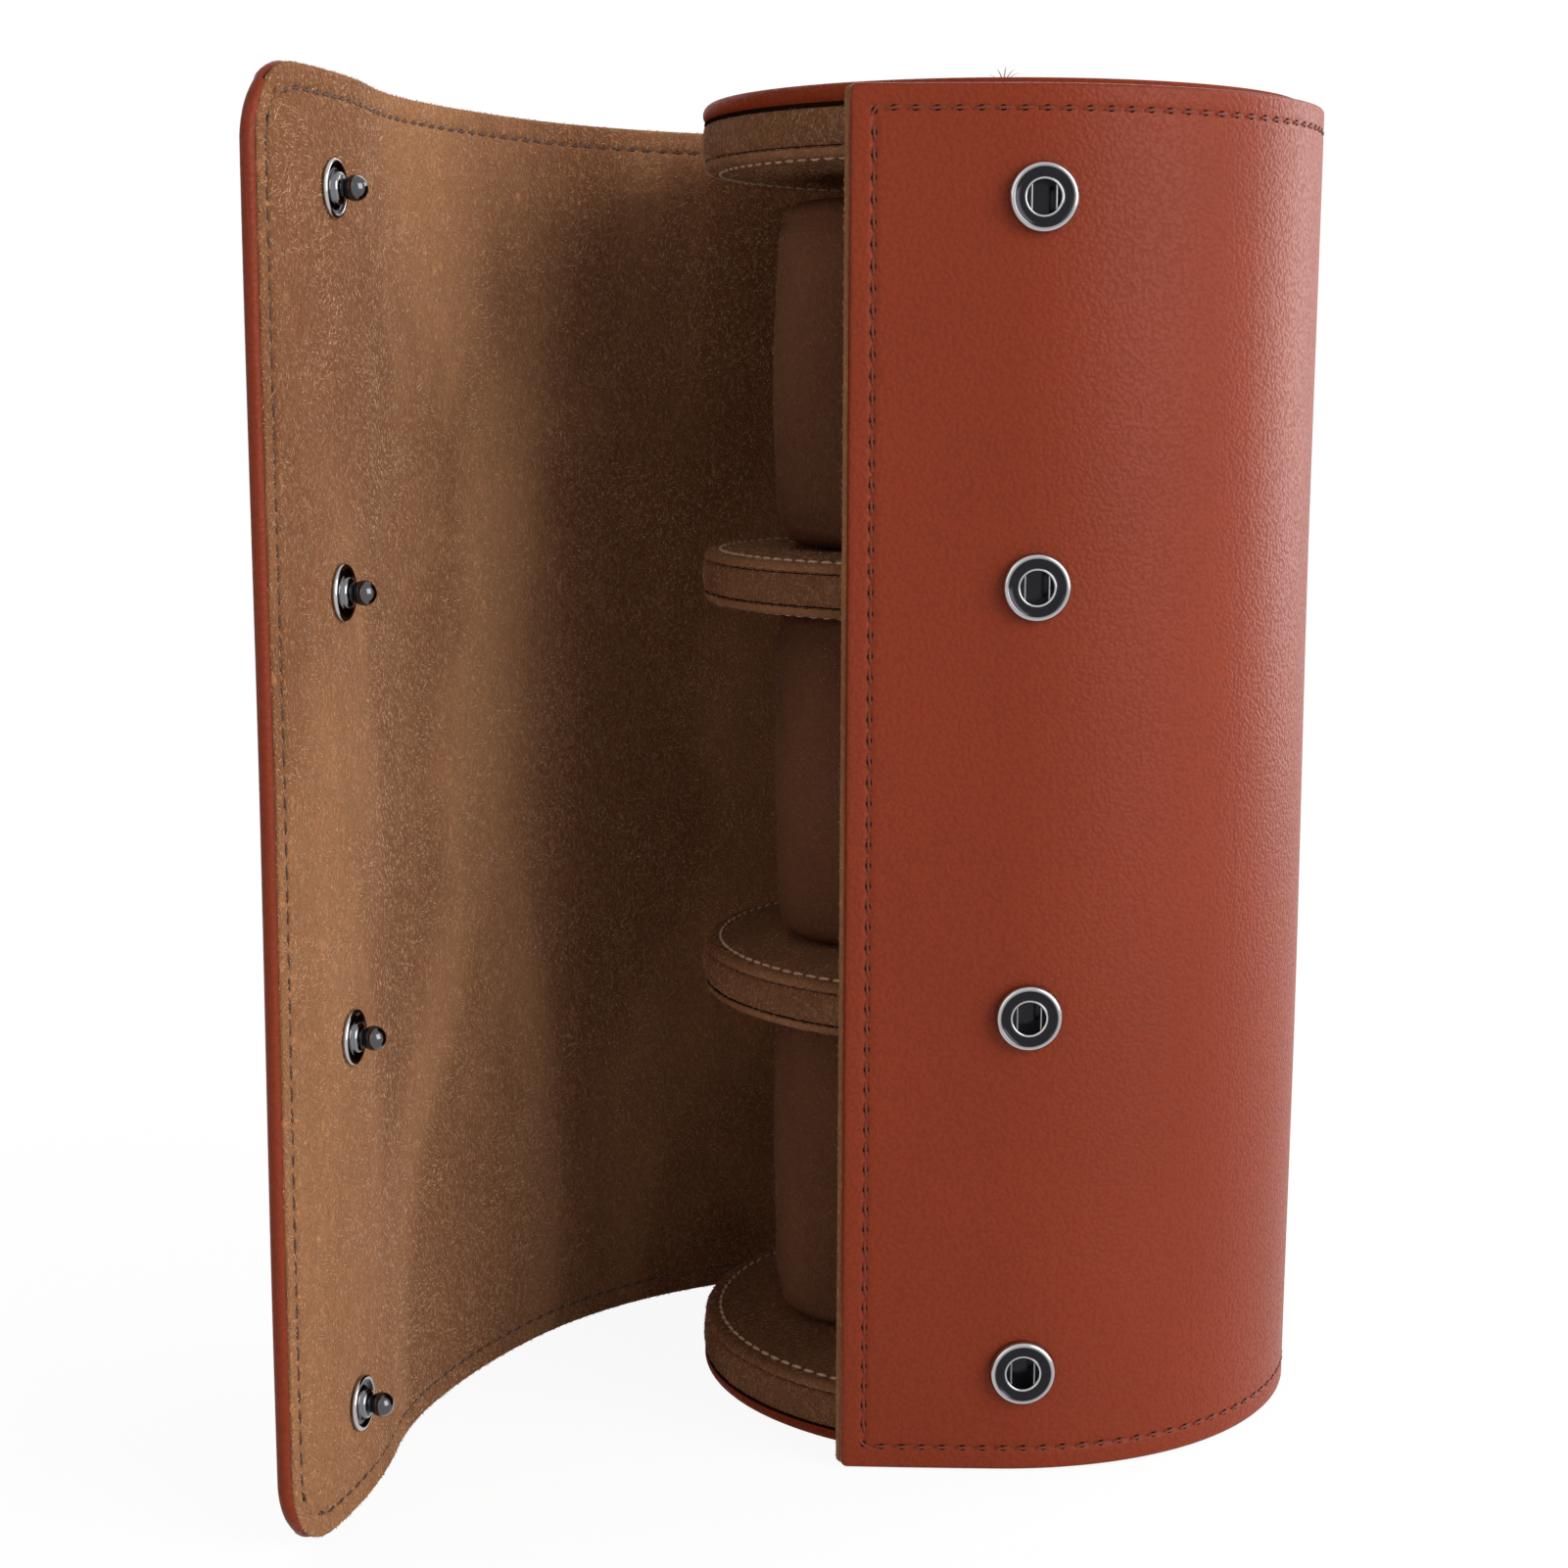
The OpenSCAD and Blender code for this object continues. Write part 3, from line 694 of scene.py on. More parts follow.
def edge_levels(seam):
    """Distances from an edge at which the sheet's mesh has a line: close at rim, seam and board."""
    by_seam = [seam + d for d in (-1.2, -0.7, -0.4, -0.2, 0.0, 0.2, 0.4, 0.7, 1.2, 2.2, 4.0)]
    kept = []
    for level in sorted([0.0, 0.1, 0.3, 0.6, 1.0, *by_seam, *BOARD_ROWS]):
        if level >= 0.0 and (not kept or level - kept[-1] > 0.09):
            kept.append(level)
    return kept


def between(low, high, step):
    count = max(1, int(round((high - low) / step)))
    return [low + (high - low) * k / count for k in range(1, count)]


def round_corner(b, from_free, across, corner, middle):
    """Bends the sheet's grid round its corners. Gives which points that moves, their run from the corner's
    middle towards the free edge, and their place across the sheet."""
    cornered = (across < corner) & (from_free < corner)
    u, v = corner - from_free, corner - across
    reach = np.maximum(u, v)
    safe = np.where(reach > 1e-9, reach, 1.0)
    angle = np.where(u >= v, v / safe, 2.0 - u / safe) * math.pi / 4
    u, v = np.where(cornered, reach * np.cos(angle), u), np.where(cornered, reach * np.sin(angle), v)
    return cornered, u, np.where(cornered, np.where(b <= middle, corner - v, 2 * middle - corner + v), b)


def sheet_layer(name, low, high, inner, outer, inset, rim, seam, dimple, roll=0.0):
    """One layer of one piece of the sheet: a closed solid with rounded edges and a pressed seam line.
    Rim is the inset at the free edge, dimple the depth of the seam on the outer and the inner face, and
    roll how far the layer thickens inwards at the flap's free edge."""
    rows = edge_levels(seam - inset)
    middle = SHEET_H / 2 - inset
    rows = rows + between(rows[-1], middle, ROW_STEP) + [middle]
    b = np.array(rows + [2 * middle - r for r in rows[-2::-1]])
    starts, ends = low == 0.0, high == SHEET_END
    free = edge_levels(seam - rim)
    if starts:
        s = [rim + e for e in free] + between(rim + free[-1], high, RUN_STEP) + [high]
    elif ends:
        s = [low] + between(low, high - rim - free[-1], RUN_STEP) + [high - rim - e for e in free[::-1]]
    else:
        s = [low] + between(low, high, RUN_STEP) + [high]
    s, b = np.meshgrid(np.array(s), b, indexing="ij")
    across = np.minimum(b, 2 * middle - b)
    from_free = s - rim if starts else (high - rim - s if ends else np.full_like(s, 1e3))
    corner = PANEL_CORNER_R if starts else TIP_CORNER_R - rim
    edge = np.minimum(across, from_free)
    cornered, u, z = round_corner(b, from_free, across, corner, middle)
    s = np.where(cornered, (rim + corner - u) if starts else (high - rim - corner + u), s)
    z = inset + z
    rolled = roll / 2 * np.clip((EDGE_ROLL_REACH - from_free) / EDGE_ROLL_RISE, 0.0, 1.0) if ends else 0.0
    half, centre = (outer - inner) / 2 + rolled, (outer + inner) / 2 - rolled
    e = np.minimum(edge, half)
    drop = half - np.sqrt(np.maximum(half**2 - (half - e) ** 2, 0.0))
    press = np.exp(-(((edge - (seam - np.where(from_free < across, rim, inset))) / PRESS_WIDTH) ** 2))
    face_out = on_sheet(s, z, centre + half - drop - dimple[0] * press)
    lifted = board_rise(s, z) if inner == 0.0 else 0.0
    face_in = on_sheet(s, z, centre - half + drop + dimple[1] * press - lifted)
    ni, nj = s.shape
    k = np.arange(ni * nj).reshape(ni, nj)
    quads = np.stack([k[:-1, :-1], k[1:, :-1], k[1:, 1:], k[:-1, 1:]], -1).reshape(-1, 4)
    faces = quads.tolist() + (quads[:, ::-1] + ni * nj).tolist()
    for at_end, butted in ((0, not starts), (ni - 1, not ends)):
        if butted:
            a = k[at_end]
            rim_faces = np.stack([a[:-1], a[1:], a[1:] + ni * nj, a[:-1] + ni * nj], -1)
            faces += (rim_faces if at_end == 0 else rim_faces[:, ::-1])[:, ::-1].tolist()
    flat = np.stack([s, z, np.zeros_like(s)], -1).reshape(-1, 3)
    flat = np.concatenate([flat, flat + [0.0, 0.0, BACK_DEPTH]])
    points = np.concatenate([face_out.reshape(-1, 3), face_in.reshape(-1, 3)])
    edge = np.concatenate([edge.ravel(), edge.ravel()])
    made = mesh_object(name, points, faces, flat, edge, merge=SAME_POINT)
    sharpen(made.data, SHARP_SHEET)
    return made


def pierced(piece, inner, outer):
    """The panel's piece with a hole for each socket, its flat place measured again from its points."""
    a = around(40)
    punches = []
    for z in SNAP_HEIGHTS:
        ring = SOCKET_HOLE_R * (np.outer(np.cos(a), SNAP_SIDE) + np.outer(np.sin(a), UP)) + z * UP
        punches.append(tube([ring + SNAP_WAY * (ROLL_R - PUNCH_IN), ring + SNAP_WAY * (ROLL_R + PUNCH_OUT)]))
    punch = mesh_object("punch", *gathered(punches))
    cut = piece.modifiers.new("Holes", "BOOLEAN")
    cut.operation, cut.solver, cut.object = "DIFFERENCE", "EXACT", punch
    name = piece.name
    piece.name = "uncut"
    piece = finished(piece, name)
    bpy.data.objects.remove(punch)
    x, y, z = points_of(piece).T
    curved = x > 0.0
    s = np.where(curved, PANEL_REACH + ROLL_R * (np.arctan2(y, x) + math.pi / 2), x + PANEL_REACH)
    depth = np.where(curved, np.hypot(x, y), -y) - ROLL_R
    behind = np.where(depth < (inner + outer) / 2, BACK_DEPTH, 0.0)
    store(piece.data, "flat", np.stack([s, z, behind], -1) * MM)
    store(piece.data, "edge", np.maximum(np.minimum(np.minimum(z, SHEET_H - z), s), 0.0))
    sharpen(piece.data, SHARP_SHEET)
    return piece


def bend_with(piece, span, reach):
    """Lets a piece of the sheet, or a seam on it, follow its body when it has one; a piece across a fold line
    is only baked in place.
    """
    _, first, second, fold, _ = span
    if second is None:
        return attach(piece, first)
    ends = [on_sheet(np.array([fold + d * reach / 2]), np.array([SHEET_H / 2]), 0.0)[0] * MM for d in (-1, 1)]
    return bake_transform(piece)


class WATCHROLL_OT_leather(bpy.types.Operator):
    """Build the leather sheet: front panel, back and flap."""
    bl_idname = "watchroll.leather"
    bl_label = "Leather sheet"

    def execute(self, context):
        sizes = context.scene.roll_sizes
        seam, lining = sizes.seam_inset / MM, sizes.lining / MM
        outer = lining + sizes.leather / MM
        for span, low, high in zip(SPANS, CUTS, CUTS[1:]):
            piece = sheet_layer(f"{span[0]}_leather_piece", low, high, lining, outer, 0.0, 0.0, seam,
                                (PRESS_LEATHER, 0.0), roll=EDGE_ROLL)
            if low == 0.0:
                piece = pierced(piece, lining, outer)
            piece.data.materials.append(material("Cognac leather"))
            bend_with(piece, span, sizes.bend / MM)
            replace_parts(piece, f"{span[4]}_leather")
        return {"FINISHED"}


class WATCHROLL_OT_lining(bpy.types.Operator):
    """Build the suede lining of the sheet."""
    bl_idname = "watchroll.lining"
    bl_label = "Suede lining"

    def execute(self, context):
        sizes = context.scene.roll_sizes
        seam, inset, outer = sizes.seam_inset / MM, sizes.lining_inset / MM, sizes.lining / MM
        for k, (span, low, high) in enumerate(zip(SPANS, CUTS, CUTS[1:])):
            rim = -sizes.overhang / MM if low == 0.0 else sizes.rim / MM
            piece = sheet_layer(f"{span[0]}_lining_piece", low, high, 0.0, outer, inset, rim, seam,
                                (0.0, PRESS_SUEDE))
            if low == 0.0:
                piece = pierced(piece, 0.0, outer)
            flat = np.zeros(3 * len(piece.data.vertices), np.float32)
            piece.data.attributes["flat"].data.foreach_get("vector", flat)
            s, _, back = flat.reshape(-1, 3).astype(float).T / MM
            shown = (back > BACK_DEPTH / 2) & ((s > NAP_FROM) | (s < NAP_PANEL))
            bend_with(nap_on(piece, f"{span[0]}_nap", shown, sizes, seed=10 + k), span, sizes.bend / MM)
            piece.data.materials.append(material("Lining suede"))
            bend_with(piece, span, sizes.bend / MM)
            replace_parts(piece, f"{span[4]}_lining")
        return {"FINISHED"}


# ------------------------------------------------------------------ seams


def stitch_tree():
    """Stitches at an even pitch along a line, with a dark mark of painted shade for the needle hole after
    each.
    """
    tree, got, out = group_tree(
        "Lockstitch", "GeometryNodeTree",
        [("Geometry", "Geometry", None), ("Pitch", "Float", 0.003), ("Length", "Float", 0.0024),
         ("Thickness", "Float", 0.0005), ("Hole", "Float", 0.0007), ("Slant", "Float", 0.12),
         ("Seed", "Int", 1), ("Thread", "Material", None), ("Dark", "Material", None)],
        [("Geometry", "Geometry")])
    thick, hole = got["Thickness"], got["Hole"]
    line = put(tree, "GeometryNodeMeshToCurve", {0: got["Geometry"]}).outputs[0]
    even = put(tree, "GeometryNodeResampleCurve", {"Curve": line, "Length": got["Pitch"]},
               mode="LENGTH").outputs[0]
    out_way = put(tree, "GeometryNodeInputNamedAttribute", {"Name": "out"},
                  data_type="FLOAT_VECTOR").outputs[0]
    along = put(tree, "FunctionNodeAlignRotationToVector",
                {"Vector": tree.nodes.new("GeometryNodeInputTangent").outputs[0]}, axis="X").outputs[0]
    stood = put(tree, "FunctionNodeAlignRotationToVector", {"Rotation": along, "Vector": out_way}, axis="Z",
                pivot_axis="X").outputs[0]
    lean = math_node(tree, "ADD", got["Slant"], random_value(tree, -0.05, 0.05, got["Seed"]))
    ball = put(tree, "GeometryNodeMeshUVSphere", {"Segments": 8, "Rings": 6, "Radius": 0.5}).outputs[0]
    stitches = copies(tree, even, ball, turned_by(tree, stood, vector(tree, Z=lean)),
                      vector(tree, X=got["Length"], Y=thick, Z=thick))
    # Painted shade: a flat dark lens for the shade inside each needle hole.
    holes = copies(tree, even, ball, stood,
                   vector(tree, X=hole, Y=hole, Z=math_node(tree, "MULTIPLY", hole, 0.3)))
    shift = vector(tree, X=math_node(tree, "MULTIPLY", got["Pitch"], 0.5),
                   Z=math_node(tree, "MULTIPLY", thick, -0.2))
    moved = put(tree, "GeometryNodeTranslateInstances", {
        "Instances": holes, "Translation": shift, "Local Space": True}).outputs[0]
    joined = tree.nodes.new("GeometryNodeJoinGeometry")
    for part, label in ((stitches, "Thread"), (moved, "Dark")):
        feed(tree, joined, Geometry=painted(tree, part, got[label]))
    feed(tree, out, Geometry=joined.outputs[0])


def sewn(name, chains, closed, seed, thread, **values):
    """Stitches along chains of (points, outward directions) in millimetres, as a mesh of their own."""
    points, ways, edges = [], [], []
    for chain, out in chains:
        base, count = len(points), len(chain)
        points += [list(p) for p in chain]
        ways += [list(w) for w in out]
        edges += [(base + i, base + i + 1) for i in range(count - 1)]
        if closed:
            edges.append((base + count - 1, base))
    mesh = bpy.data.meshes.new(name + "_line")
    mesh.from_pydata((np.array(points) * MM).tolist(), edges, [])
    store(mesh, "out", ways)
    line = linked(name + "_line", mesh)
    use_tree(line, bpy.data.node_groups["Lockstitch"], Slant=0.10, Seed=seed, Thread=material(thread),
             Dark=material("Needle hole"), **values)
    made = finished(line, name)
    shade_smooth(made.data)
    return made


def flat_seams(low, high, seam, pitch):
    """Flat paths of the perimeter seam on one piece of the sheet, as lists of (s, z)."""
    top, half = SHEET_H - seam, pitch / 2
    if low == 0.0:
        run = np.arange(seam, high - half + 0.01, 0.5)
        side = np.arange(seam + 0.5, top - 0.1, 0.5)
        return [[(s, top) for s in run[::-1]] + [(seam, z) for z in side[::-1]] + [(s, seam) for s in run]]
    if high == SHEET_END:
        r = TIP_CORNER_R - seam
        centre = SHEET_END - TIP_CORNER_R
        run = list(np.arange(low + half, centre, 0.5))
        turns = np.radians(np.arange(0.0, 91.0, 5.0))
        path = [(s, top) for s in run]
        path += [(centre + r * math.sin(t), SHEET_H - TIP_CORNER_R + r * math.cos(t)) for t in turns]
        path += [(centre + r, z) for z in np.arange(SHEET_H - TIP_CORNER_R - 1, TIP_CORNER_R, -1.0)]
        path += [(centre + r * math.cos(t), TIP_CORNER_R - r * math.sin(t)) for t in turns]
        return [path + [(s, seam) for s in run[::-1]]]
    run = np.append(np.arange(low + half, high - half, 0.5), high - half)
    return [[(s, top) for s in run], [(s, seam) for s in run]]


class WATCHROLL_OT_seams(bpy.types.Operator):
    """Sew the perimeter seam, on the leather and on the suede."""
    bl_idname = "watchroll.seams"
    bl_label = "Perimeter seams"

    def execute(self, context):
        sizes = context.scene.roll_sizes
        seam, pitch, thick = sizes.seam_inset / MM, sizes.pitch / MM, sizes.thread / MM
        outer = (sizes.lining + sizes.leather) / MM
        sides = (("leather", outer - 0.2 + 0.12 * thick, 1.0, "Seam thread"),
                 ("suede", PRESS_SUEDE - 0.1 * thick, -1.0, "Lining thread"))
        for side, depth, way, thread in sides:
            for k, (span, low, high) in enumerate(zip(SPANS, CUTS, CUTS[1:])):
                chains = []
                for path in flat_seams(low, high, seam, pitch):
                    s, z = np.array(path).T
                    _, _, h = along_sheet(s)
                    out = np.stack([way * np.sin(h), -way * np.cos(h), 0.0 * h], -1)
                    chains.append((on_sheet(s, z, depth), out))
                stitches = sewn(f"{span[0]}_{side}_seam", chains, closed=False, seed=k + 1, thread=thread,
                                Pitch=sizes.pitch, Length=sizes.pitch * SHEET_STITCH,
                                Thickness=sizes.thread, Hole=SHEET_HOLE)
                bend_with(stitches, span, sizes.bend / MM)
        return {"FINISHED"}


# ------------------------------------------------------------------ caps and dividers


def lathe(name, profile, finish, count=160, unroll=False):
    """A solid of revolution that rides the case; a band's flat place is unrolled."""
    points, faces, _ = revolved(profile, count)
    flat = points
    if unroll:
        steps = [math.dist(a, b) for a, b in zip(profile, profile[1:])]
        flat = [(DISC_R * t, run, BAND_DEPTH) for run in [0.0, *np.cumsum(steps)] for t in around(count)]
    made = mesh_object(name, points, faces, flat, [FAR_FROM_EDGE] * len(points))
    made.data.materials.append(material(finish))
    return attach(made, "case")


def facing_profile(seam_r):
    """Half section of a suede disc face that looks up, from z 0: rolled rim, stitched groove, soft face."""
    rim, rise, stitch_r = 1.15, FACING_T, DISC_STITCH_R
    outline = [(0.0, 0.0), (seam_r - 0.7, 0.0), (seam_r, 0.08)]
    outline += arc_points(seam_r - rim + 0.42, rise - rim, rim, -15, 88, 8)
    for away in (0.9, 0.5, 0.2, -0.2, -0.5, -0.9):
        r = stitch_r + away
        outline.append((r, rise - 0.22 * math.exp(-(((r - stitch_r) / 0.5) ** 2))))
    return outline + [(stitch_r - 3.0, rise + 0.12), (stitch_r - 9.0, rise + 0.16), (12.0, rise + 0.18),
                      (0.0, rise + 0.18)]


def band_profile(low, high):
    """Section of the suede band around a disc, pinched at both seams."""
    count = 10
    outline = [(DISC_R - 1.4, low), (DISC_R - 0.9, low)]
    for k in range(count + 1):
        share = k / count
        puff = min(1.0, math.sin(math.pi * share) ** 0.45 if 0 < share < 1 else 0.0)
        outline.append((DISC_R - 0.65 + 0.7 * puff, low + (high - low) * share))
    return outline + [(DISC_R - 0.9, high), (DISC_R - 1.4, high)]


def cover_profile(domed):
    """Half section of a cap's leather cover that looks up: domed on top of the roll, flat underneath."""
    if domed:
        rim = arc_points(DISC_R - 1.5, 1.4, 1.55, -65, 100, 14)
        steps = [(r, 2.62 + 0.48 * (1 - (r / 43.0) ** 4))
                 for r in (43.0, 42.0, 40.0, 36.0, 30.0, 20.0, 10.0, 0.0)]
    else:
        rim = arc_points(DISC_R - 1.3, COVER_T - 1.3, 1.3, -30, 90, 10)
        steps = [(r, COVER_T) for r in (43.2, 30.0, 10.0, 0.0)]
    return [(0.0, 0.0), (DISC_R - 1.3, 0.0)] + rim + steps


def set_at(profile, z, way):
    """A profile that looks up (way 1) or down (way -1) from height z."""
    return [(r, z + way * h) for r, h in profile][::way]


def ring_seam(name, z, way):
    """Stitches in a circle on a disc face that looks up (way 1) or down (way -1)."""
    a = around(240)
    points = np.stack([DISC_STITCH_R * np.cos(a), DISC_STITCH_R * np.sin(a), np.full_like(a, z)], -1)
    chain = (points, [(0.0, 0.0, float(way))] * len(a))
    stitches = sewn(name, [chain], closed=True, seed=7, thread="Disc thread", Pitch=DISC_PITCH,
                    Length=DISC_PITCH * DISC_STITCH, Thickness=DISC_THREAD, Hole=DISC_HOLE)
    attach(stitches, "case")


def loose_threads(name, foot):
    """A small tuft of frayed thread ends that stands on the cap."""
    strands = []
    for reach, lean, height in STRANDS:
        rings = []
        for t in (k / 6 for k in range(7)):
            centre = np.array(foot) + [reach * t, lean * t, height * t * (1.45 - 0.45 * t * t)]
            r = STRAND_R * (1.0 - 0.75 * t)
            rings.append([centre + [r * math.cos(a), r * math.sin(a), 0.0] for a in around(5)])
        strands.append(tube(rings))
    made = mesh_object(name, *gathered(strands))
    made.data.materials.append(material("Loose thread"))
    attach(made, "case")


class WATCHROLL_OT_discs(bpy.types.Operator):
    """Build the caps and dividers: covers, bands, sewn faces and stitches."""
    bl_idname = "watchroll.discs"
    bl_label = "Caps and dividers"

    def execute(self, context):
        sizes = context.scene.roll_sizes
        face = facing_profile(DISC_R - 0.55)
        for name, low, high in DISCS:
            cap, top, bottom = name.endswith("cap"), name == "top_cap", name == "bottom_cap"
            seams = []
            if not top:
                seams.append((lathe(f"{name}_upper_face", set_at(face, high - FACING_T, 1), "Disc suede"),
                              high + 0.02, 1))
            if not bottom:
                seams.append((lathe(f"{name}_lower_face", set_at(face, low + FACING_T, -1), "Disc suede"),
                              low - 0.02, -1))
            for piece, z, way in seams:
                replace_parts(piece, f"{name}_facing" + ("" if cap else "s"))
                ring_seam(f"{piece.name}_seam", z, way)
                x, y, up = points_of(piece).T
                shown = (np.abs(up - z) < FACING_T) & (np.hypot(x, y) > DISC_NAP_R)
                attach(nap_on(piece, f"{piece.name}_nap", shown, sizes, seed=31, share=0.7,
                               finish="Disc fibre"), "case")
            band_low = low + (COVER_T if bottom else FACING_T)
            band_high = high - (COVER_T if top else FACING_T)
            band = lathe(f"{name}_side", band_profile(band_low, band_high), "Disc suede", unroll=True)
            x, y, _ = points_of(band).T
            shown = np.hypot(x, y) > DISC_R - BAND_NAP
            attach(nap_on(band, f"{name}_side_nap", shown, sizes, seed=33, share=1.1,
                           finish="Disc fibre"), "case")
            # Painted shade: a dark ring in the groove at each end of the band.
            for z, end in ((band_low, "low"), (band_high, "high")):
                gap = arc_points(DISC_R - JOINT_IN, z, JOINT_R, 0, 315, 7)
                lathe(f"{name}_joint_{end}", gap, "Needle hole", count=120)
            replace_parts(band, f"{name}_band")
            if cap:
                z, way = (high - COVER_T, 1) if top else (low + COVER_T, -1)
                cover = lathe(f"{name}_leather", set_at(cover_profile(top), z, way), "Cap leather")
                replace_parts(cover, f"{name}_cover")
            if top:
                loose_threads("top_cap_loose_thread", STRAND_FOOT)
            dress_cad(f"{name}_core", "Grey board")
        return {"FINISHED"}


def dress_cad(node, finish):
    """Gives a CAD node that stays visible its material."""
    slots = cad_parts[node].data.materials
    slots.clear()
    slots.append(material(finish))


# ------------------------------------------------------------------ pillows


def pillow_form(name, shrink):
    """An oval cushion that stands on end, in millimetres, with its lower end at z 0."""
    rows = [(0.0, 3.0), (0.3, 1.6), (1.0, 0.6), (2.5, 0.1), (6.0, 0.0)]
    rows = rows + [(PILLOW_H / 2, -0.4)] + [(PILLOW_H - z, i) for z, i in rows[::-1]]
    a = around(72)
    x, y = (np.sign(part) * np.abs(part) ** (2 / PILLOW_SQUARENESS) for part in (np.cos(a), np.sin(a)))
    rings = []
    for z, inset in rows:
        half_w, half_d = (half - inset - shrink for half in PILLOW_HALF)
        height = shrink * 0.6 + z * (PILLOW_H - 1.2 * shrink) / PILLOW_H
        rings.append(np.stack([half_w * x, half_d * y, np.full_like(x, height)], -1))
    return mesh_object(name, *tube(rings))


def filled_out(form, limit):
    """The cushion after cloth under pressure has filled it, with each point moved by at most the limit."""
    remesh = form.modifiers.new("Even mesh", "REMESH")
    remesh.mode, remesh.voxel_size = "VOXEL", 0.003
    soft = finished(form, "pillow_soft")
    start = np.array([v.co for v in soft.data.vertices])
    cloth = soft.modifiers.new("Cloth", "CLOTH")
    settings = cloth.settings
    settings.use_pressure, settings.uniform_pressure_force = True, 4.0
    settings.effector_weights.gravity = 0.0
    settings.tension_stiffness = settings.compression_stiffness = 25.0
    settings.bending_stiffness = 4.0
    scene = bpy.context.scene
    for k in range(1, 21):
        scene.frame_set(k)
    graph = bpy.context.evaluated_depsgraph_get()
    done = soft.evaluated_get(graph).to_mesh()
    moved = np.array([v.co for v in done.vertices]) - start
    soft.modifiers.remove(cloth)
    scene.frame_set(1)
    reach = np.linalg.norm(moved, axis=1, keepdims=True)
    moved *= np.minimum(1.0, limit / np.maximum(reach, 1e-9))
    soft.data.vertices.foreach_set("co", (start + moved).ravel())
    soft.data.update()
    return soft


class WATCHROLL_OT_pillows(bpy.types.Operator):
    """Fill and place the three watch pillows."""
    bl_idname = "watchroll.pillows"
    bl_label = "Watch pillows"

    def execute(self, context):
        sizes = context.scene.roll_sizes
        soft = filled_out(pillow_form("pillow_form", PILLOW_SHRINK), PILLOW_SWELL * MM)
        smooth = soft.modifiers.new("Finer", "SUBSURF")
        smooth.levels = smooth.render_levels = 1
        soft = finished(soft, "pillow_fine")
        rest = points_of(soft)
        height = rest[:, 2] / PILLOW_H
        turn = np.arctan2(rest[:, 1] / PILLOW_HALF[1], rest[:, 0] / PILLOW_HALF[0])
        seam = 0.5 * np.exp(-(((np.minimum(rest[:, 2], PILLOW_H - rest[:, 2]) - 4.0) / 0.8) ** 2))
        radial = np.hypot(rest[:, 0], rest[:, 1])[:, None]
        share = np.clip(radial / 18.0, 0.0, 1.0)
        shown = np.abs(rest[:, 2] - PILLOW_H / 2) < PILLOW_H / 2 - PILLOW_BARE
        for k, (name, z) in enumerate(PILLOWS):
            dent = 0.25 * np.sin(3 * turn + 2.1 * k) * np.sin(math.pi * height) + 0.18 * np.sin(
                7 * turn + 5.0 * height + k)
            p = rest.copy()
            p[:, :2] -= p[:, :2] / np.maximum(radial, 1e-6) * share * (seam + 0.25 - dent)[:, None]
            p[:, 2] = np.clip(p[:, 2], 0.0, PILLOW_H) + z
            mesh = soft.data.copy()
            mesh.vertices.foreach_set("co", (p * MM).ravel())
            store(mesh, "flat", np.stack([turn * 30.0, p[:, 2], radial[:, 0] * 0.3], -1) * MM)
            mesh.materials.clear()
            mesh.materials.append(material("Pillow suede"))
            shade_smooth(mesh)
            piece = linked(f"{name}_pillow", mesh)
            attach(piece, f"{name}_pillow")
            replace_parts(piece, *[f"{name}_pillow_{part}" for part in ("wrap", "ends", "core")])
            nap = nap_on(piece, f"{name}_pillow_nap", shown, sizes, seed=41 + k, share=0.5,
                         finish="Pillow fibre")
            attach(nap, f"{name}_pillow")
        bpy.data.objects.remove(soft)
        return {"FINISHED"}


# ------------------------------------------------------------------ snaps


def placed(points, origin, side, way):
    """Points whose own axes are set along a side, upright and along a way, as seen from an origin."""
    p = np.asarray(points, float)
    return origin + p[:, :1] * side + p[:, 1:2] * UP + p[:, 2:3] * way


def turned_metal(name, profile, places, side, way):
    """One turned metal piece at each place, with the distance from its rims, where a glint is painted, kept
    as an attribute.
    Side, up and way make a left-handed set, so each face is turned round to point outwards."""
    own, faces, rings = revolved([p[:2] for p in profile], 56)
    faces = [face[::-1] for face in faces]
    # The third column gives how far each ring is from a rim with a painted glint.
    glint_reach = [row[2] for row, ring in zip(profile, rings) for _ in set(ring)]
    points, faces = gathered([(placed(own, origin, side, way).tolist(), faces) for origin in places])
    made = mesh_object(name, points, faces, edge=glint_reach * len(places))
    made.data.materials.append(material("Snap metal"))
    return made


